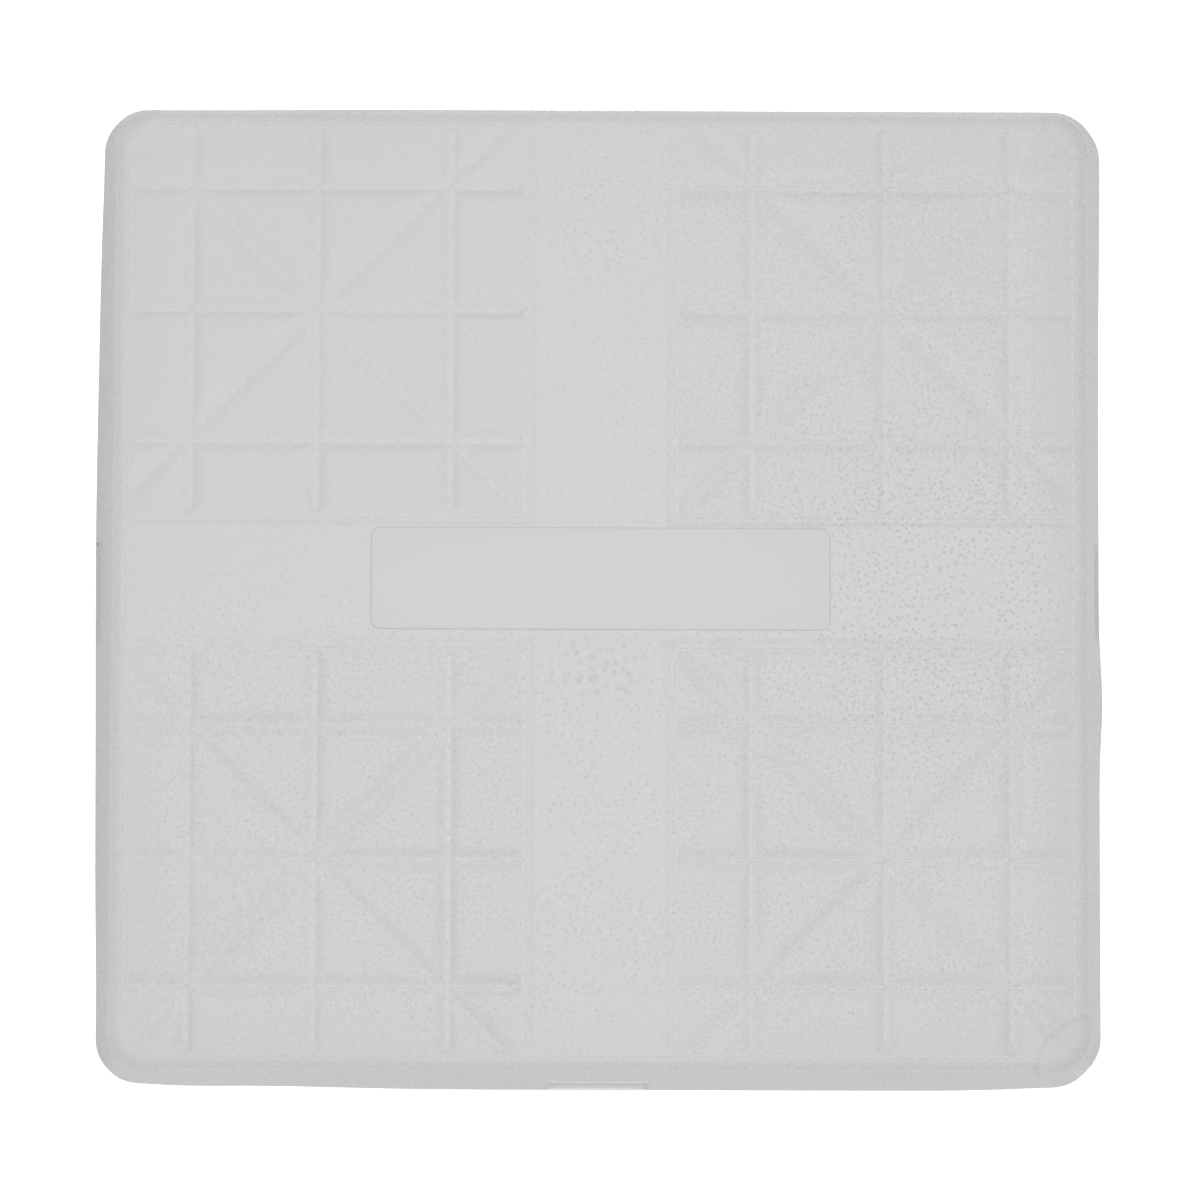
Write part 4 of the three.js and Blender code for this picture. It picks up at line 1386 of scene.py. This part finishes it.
class BASE_OT_stanchion(bpy.types.Operator):
    """Finish the steel stanchion and model the weld that joins its post to its flange"""

    bl_idname = "base.stanchion"
    bl_label = "Stanchion"

    WELD_COLUMNS = 240
    # Outer corner of the post, depth of the weld's hidden edges, and its crown's reach and drop as shares
    POST_CORNER = 0.0046
    WELD_SUNK = 0.0006
    CROWN_FAR, CROWN_NEAR = 0.78, 0.36

    def execute(self, context):
        settings = context.scene.base_steel
        zinc = steel_material("zinc plated steel", settings.zinc, 0.34, 130.0)
        broken_edges("stanchion_flange", "flange_plate", zinc, settings.edge)
        broken_edges("stanchion_post", "post_tube", zinc, settings.edge)
        for side in WALLS:
            dress(f"gusset_{side}", zinc)
        finish_piece(self.weld(settings), "post_weld", zinc, smooth_angle=60)
        return {"FINISHED"}

    def weld(self, settings):
        """A rippled fillet round the post, under the flange."""
        half = POST_HIGH.x
        radius = self.POST_CORNER
        straight = half - radius
        sunk = self.WELD_SUNK
        leg = settings.weld_leg
        far, near = self.CROWN_FAR * leg, self.CROWN_NEAR * leg
        loops = [(-sunk, sunk), (leg, sunk), (far, -near), (near, -far), (-sunk, -leg)]
        bm = bmesh.new()
        tags = bm.verts.layers.float.new("turn")
        bmesh.ops.create_circle(bm, segments=self.WELD_COLUMNS, radius=1)
        for vertex in bm.verts:
            vertex[tags] = math.atan2(vertex.co.y, vertex.co.x)
        perimeter = 8 * straight + 2 * math.pi * radius
        ripples = round(perimeter / settings.ripple_pitch)
        for number, vertices, (reach, rise) in stacked_loops(bm, loops):
            for vertex in vertices:
                turn = vertex[tags]
                ray = Vector((math.cos(turn), math.sin(turn)))
                scale = half / max(abs(ray.x), abs(ray.y))
                x = clamp(ray.x * scale, -straight, straight)
                y = clamp(ray.y * scale, -straight, straight)
                out = Vector((ray.x * scale - x, ray.y * scale - y))
                out = out.normalized() if out.length > 1e-9 else ray
                swell = settings.weld_ripple * math.sin(ripples * turn) if 0 < number < 4 else 0.0
                outer = radius + reach + swell
                vertex.co = Vector((x + out.x * outer, y + out.y * outer, FLANGE_LOW.z + rise - swell))
        bmesh.ops.bridge_loops(bm, edges=outer_edges(bm))
        bm.verts.layers.float.remove(tags)
        bmesh.ops.recalc_face_normals(bm, faces=bm.faces)
        return bm


class BASE_OT_closing_sheet(bpy.types.Operator):
    """Finish the black sheet that closes the cover from below"""

    bl_idname = "base.closing_sheet"
    bl_label = "Closing sheet"

    def execute(self, context):
        settings = context.scene.base_steel
        broken_edges("bottom_sheet", "closing_sheet", sheet_material(settings), settings.edge)
        return {"FINISHED"}


# Straight edge and broken corners of a head, chamfer of a tip, and a socket's share of the head's depth
HEAD_LIP = 0.0006
HEAD_CORNER = 0.0004
TIP_CHAMFER = 0.001
SOCKET_SHARE = 0.8


def turned_fastener(node, settings, socket):
    """A countersunk fastener with a hexagon socket, turned about the axis of its CAD node."""
    low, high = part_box(node)
    centre = (low + high) / 2
    head = (high.x - low.x) / 2
    shank = head / 2
    deep = head - shank
    hexagon = socket / math.sqrt(3)
    sector = math.pi / 3
    loops = [
        (hexagon, low.z + SOCKET_SHARE * deep, True),
        (hexagon, low.z + HEAD_CORNER, True),
        (hexagon + HEAD_CORNER, low.z, True),
        (head - HEAD_CORNER, low.z, False),
        (head, low.z + HEAD_CORNER, False),
        (head, low.z + HEAD_LIP, False),
        (shank, low.z + HEAD_LIP + deep, False),
        (shank, high.z - TIP_CHAMFER, False),
        (shank - TIP_CHAMFER, high.z, False),
    ]
    bm = bmesh.new()
    bmesh.ops.create_circle(bm, segments=settings.sides, radius=1)
    for number, vertices, (radius, z, flats) in stacked_loops(bm, loops):
        for vertex in vertices:
            ray = Vector((vertex.co.x, vertex.co.y, 0))
            if number:
                ray -= Vector((centre.x, centre.y, 0))
            turn = math.atan2(ray.y, ray.x)
            off = (turn % sector) - sector / 2
            reach = radius * math.cos(sector / 2) / math.cos(off) if flats else radius
            vertex.co = Vector((centre.x + reach * math.cos(turn), centre.y + reach * math.sin(turn), z))
    bmesh.ops.edgeloop_fill(bm, edges=outer_edges(bm))
    bmesh.ops.recalc_face_normals(bm, faces=bm.faces)
    return bm


class BASE_OT_fasteners(bpy.types.Operator):
    """Model the bolts and screws and finish the inserts that they turn in"""

    bl_idname = "base.fasteners"
    bl_label = "Fasteners"

    BOLT_SOCKET = 0.006
    SCREW_SOCKET = 0.004

    def execute(self, context):
        settings = context.scene.base_steel
        plated = steel_material("plated fasteners", settings.bolts, 0.24, 300.0)
        brass = brass_material(settings)
        for node in sorted(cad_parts):
            if node.startswith(("flange_insert", "sheet_insert")):
                dress(node, brass)
            elif node.startswith(("flange_bolt", "sheet_screw")):
                socket = self.BOLT_SOCKET if node.startswith("flange") else self.SCREW_SOCKET
                bm = turned_fastener(node, settings, socket)
                piece = finish_piece(bm, f"turned_{node}", plated, smooth_angle=30)
                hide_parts(node)
        return {"FINISHED"}


# Half of the dim field that the floor has below the middle of the base: a painted shadow
DIM_HALF = 0.04


def floor_material(settings):
    """A pale matt floor that stays bright to the camera, dimmed below the base as a painted shadow, and is
    clear from below.
    """
    material, wiring, shader = new_material("pale floor")
    place = wiring.place()
    paint = wiring.mottled(place, settings.floor, 3.0, 0.01)
    wiring.set(shader["Base Color"], paint["Colour"])
    shader["Roughness"].default_value = 0.9
    shader["Specular IOR Level"].default_value = 0.1
    shader["Emission Color"].default_value = (1, 1, 1, 1)
    parts = wiring.node("ShaderNodeSeparateXYZ")
    wiring.set(parts.inputs[0], place)
    fourth = [wiring.math("POWER", wiring.math("ABSOLUTE", parts.outputs[axis]), 4.0) for axis in (0, 1)]
    across = wiring.math("POWER", wiring.math("ADD", *fourth), 0.25)
    # The glow drops below the base: a painted shadow.
    glow = wiring.ramp(across, DIM_HALF, COVER_HIGH.y, settings.under_glow, settings.glow)
    seen = wiring.node("ShaderNodeLightPath").outputs["Is Camera Ray"]
    shown = wiring.math("MULTIPLY", seen, glow)
    unseen = wiring.math("MULTIPLY", wiring.math("SUBTRACT", 1.0, seen), settings.bounce)
    wiring.set(shader["Emission Strength"], wiring.math("ADD", shown, unseen))
    below = wiring.node("ShaderNodeNewGeometry").outputs["Backfacing"]
    wiring.set(shader["Alpha"], wiring.math("SUBTRACT", 1.0, below))
    return material


class BASE_OT_stage(bpy.types.Operator):
    """Set up the pale floor, the soft light and the camera over the base"""

    bl_idname = "base.stage"
    bl_label = "Stage"

    FLOOR_HALF = 4.0
    FLOOR_GAP = 0.0002
    SENSOR = 36.0

    def execute(self, context):
        settings = context.scene.base_stage
        self.floor(settings)
        self.light(context, settings)
        self.camera(context, settings)
        context.scene.view_settings.view_transform = "Standard"
        return {"FINISHED"}

    def floor(self, settings):
        bm = bmesh.new()
        bmesh.ops.create_grid(bm, x_segments=8, y_segments=8, size=self.FLOOR_HALF)
        bmesh.ops.translate(bm, vec=(0, 0, CAD_LOW.z - self.FLOOR_GAP), verts=bm.verts)
        floor = plain_object(bm, "floor")
        floor.data.materials.append(floor_material(settings))

    def light(self, context, settings):
        world = bpy.data.worlds.new("studio")
        world.use_nodes = True
        sky = world.node_tree.nodes["Background"].inputs
        sky["Color"].default_value = (1, 1, 1, 1)
        sky["Strength"].default_value = settings.sky
        context.scene.world = world
        key = bpy.data.lights.new("key", "AREA")
        key.shape = "DISK"
        key.size = settings.key_size
        key.energy = settings.key_power
        lamp = bpy.data.objects.new("key", key)
        lamp.location = (settings.key_x, 0, settings.key_height)
        lamp.visible_camera = False
        context.scene.collection.objects.link(lamp)

    def camera(self, context, settings):
        data = bpy.data.cameras.new("camera")
        data.sensor_width = self.SENSOR
        data.lens = self.SENSOR * settings.distance / settings.field
        camera = bpy.data.objects.new("camera", data)
        turn = Matrix.Rotation(-settings.lean_left, 4, "Y") @ Matrix.Rotation(settings.lean_front, 4, "X")
        target = Vector((settings.target_x, settings.target_y, 0))
        back = turn @ Vector((0, 0, settings.distance))
        spin = Matrix.Rotation(settings.roll, 4, "Z")
        camera.matrix_world = Matrix.Translation(target + back) @ turn @ spin
        context.scene.collection.objects.link(camera)
        context.scene.camera = camera


STEPS = (
    BASE_OT_quilted_cover,
    BASE_OT_stitching,
    BASE_OT_pebbled_walls,
    BASE_OT_bare_plate,
    BASE_OT_foam_pads,
    BASE_OT_stanchion,
    BASE_OT_closing_sheet,
    BASE_OT_fasteners,
    BASE_OT_stage,
)
GROUPS = {
    "base_cover": CoverSettings,
    "base_stitches": StitchSettings,
    "base_pebbles": PebbleSettings,
    "base_plate": PlateSettings,
    "base_steel": SteelSettings,
    "base_stage": StageSettings,
}


class BASE_PT_sidebar(bpy.types.Panel):
    """Steps that make the base, and their settings"""

    bl_label = "Baseball base"
    bl_idname = "BASE_PT_sidebar"
    bl_space_type = "VIEW_3D"
    bl_region_type = "UI"
    bl_category = "Base"

    def draw(self, context):
        for step in STEPS:
            self.layout.operator(step.bl_idname)
        for name, group in GROUPS.items():
            box = self.layout.box()
            box.label(text=group.__doc__)
            settings = getattr(context.scene, name)
            for key in group.__annotations__:
                box.prop(settings, key)


def register():
    for group in GROUPS.values():
        bpy.utils.register_class(group)
    for name, group in GROUPS.items():
        setattr(bpy.types.Scene, name, PointerProperty(type=group))
    for item in (*STEPS, BASE_PT_sidebar):
        bpy.utils.register_class(item)


def unregister():
    for item in (BASE_PT_sidebar, *reversed(STEPS)):
        bpy.utils.unregister_class(item)
    for name, group in reversed(GROUPS.items()):
        delattr(bpy.types.Scene, name)
        bpy.utils.unregister_class(group)


def main():
    register()
    bpy.ops.base.quilted_cover()
    bpy.ops.base.stitching()
    bpy.ops.base.pebbled_walls()
    bpy.ops.base.bare_plate()
    bpy.ops.base.foam_pads()
    bpy.ops.base.stanchion()
    bpy.ops.base.closing_sheet()
    bpy.ops.base.fasteners()
    bpy.ops.base.stage()


if __name__ == "__main__":
    main()
